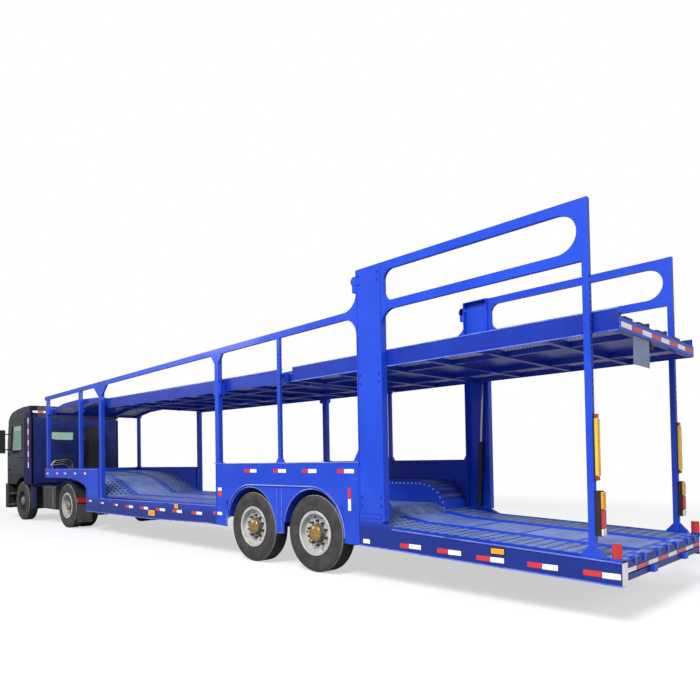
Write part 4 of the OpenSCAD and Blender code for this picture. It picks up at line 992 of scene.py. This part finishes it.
# --- Tape, pipes and stack on the back of the cab -------------------------------------------------
# Red and white tape runs up each rear corner of the cab and along the top of its back wall;
# rigid air pipes are clipped to the wall, and the stack has louvred sides.
cab_films = [bmesh.new(), bmesh.new()]
for i in range(9):
    z = 1.43 + i * 0.15
    bar_pair(cab_films[i % 2], (14.96, 15.03), (1.2345, 1.236), (z, z + 0.148))
for i in range(3):
    outer = 1.20 - i * 0.14
    bar_pair(cab_films[i % 2], (14.748, 14.7497), (outer, outer - 0.135), (2.91, 2.965))
new_piece("cab_red_tape", "tractor", tape_red, cab_films[1])
new_piece("cab_white_tape", "tractor", tape_white, cab_films[0])

def pipe(name, body, material, points, radius):
    curve = bpy.data.curves.new(name, "CURVE")
    curve.dimensions = "3D"
    curve.bevel_depth = radius
    curve.bevel_resolution = 4
    spline = curve.splines.new("BEZIER")
    spline.bezier_points.add(len(points) - 1)
    for knot, (x, y, z) in zip(spline.bezier_points, points):
        knot.co = (x + tail, y, z)
        knot.handle_left_type = knot.handle_right_type = "AUTO"
    piece = bpy.data.objects.new(name, curve)
    bpy.context.scene.collection.objects.link(piece)
    curve.materials.append(material)
    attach(piece, body)

brass_pipe = surface("brass_pipe", (0.50, 0.33, 0.08), (0.70, 0.50, 0.16), (0.25, 0.4), 20, metallic=0.9)
air_pipes = ((0.15, 1.62, nut_zinc), (0.20, 1.56, brass_pipe), (0.25, 1.50, nut_zinc))
for k, (y, z, material) in enumerate(air_pipes):
    route = [(14.735, y, 1.10), (14.73, y, z - 0.08), (14.71, y + 0.08, z), (14.71, y + 0.35, z),
             (14.73, y + 0.5, z - 0.03), (14.735, y + 0.55, z - 0.3)]
    pipe("air_pipe_" + str(k), "tractor", material, route, 0.013)

louvres = bmesh.new()
for i in range(18):
    z = 1.43 + i * 0.056
    bar(louvres, (14.4085, -0.59, z), (14.4135, -0.21, z + 0.034))
    bar(louvres, (14.43, -0.1905, z), (14.68, -0.185, z + 0.034))
new_piece("stack_louvres", "tractor", trim_black, louvres, 0.002)

# --- Fuel tank, steps and rear end of the tractor --------------------------------------------------
# The tank is near-black as painted shade and is held by two steel straps, the steps have open grip
# plates, and each mudguard ends in a red lamp and a plain rubber flap, greyed by dust.
# The tank's near-black colour is painted shade.
shaded_fuel_tank = surface("shaded_fuel_tank", (0.012, 0.012, 0.014), (0.055, 0.055, 0.058), (0.3, 0.5), 4, bump=0.12)
flap_rubber = surface("flap_rubber", (0.035, 0.035, 0.037), (0.10, 0.10, 0.105), (0.6, 0.8), 6, bump=0.3)
repaint(shaded_fuel_tank, "fuel_tank")
strap_w, strap_t = 0.05, 0.0028
straps = bmesh.new()
for x in (13.62, 14.16):
    for z in (0.963, 0.36):
        strip(straps, [(x, z), (x + strap_w, z)], 0.59, 1.03, strap_t)
    bar(straps, (x, 1.0901, 0.42), (x + strap_w, 1.093, 0.90))
new_piece("tank_straps", "tractor", bare_steel, straps)
filler = bmesh.new()
rod(filler, (13.55, 0.80, 0.9605), (13.55, 0.80, 0.985), 0.05)
new_piece("filler_cap", "tractor", trim_black, filler, 0.004)
grips = bmesh.new()
for z in (0.4003, 0.7103):
    for i in range(9):
        y = 0.945 + i * 0.03
        bar_pair(grips, (16.22, 16.68), (y, y + 0.012), (z, z + 0.006))
new_piece("step_grips", "tractor", bare_steel, grips)
flaps, lamps = bmesh.new(), bmesh.new()
bar_pair(flaps, (11.808, 11.8198), (0.86, 1.215), (0.16, 0.58))
bar_pair(lamps, (11.785, 11.8195), (0.93, 1.22), (0.61, 0.72))
new_piece("flap_faces", "tractor", flap_rubber, flaps, 0.003)
new_piece("tractor_tail_lamps", "tractor", red_lens, lamps, 0.006)
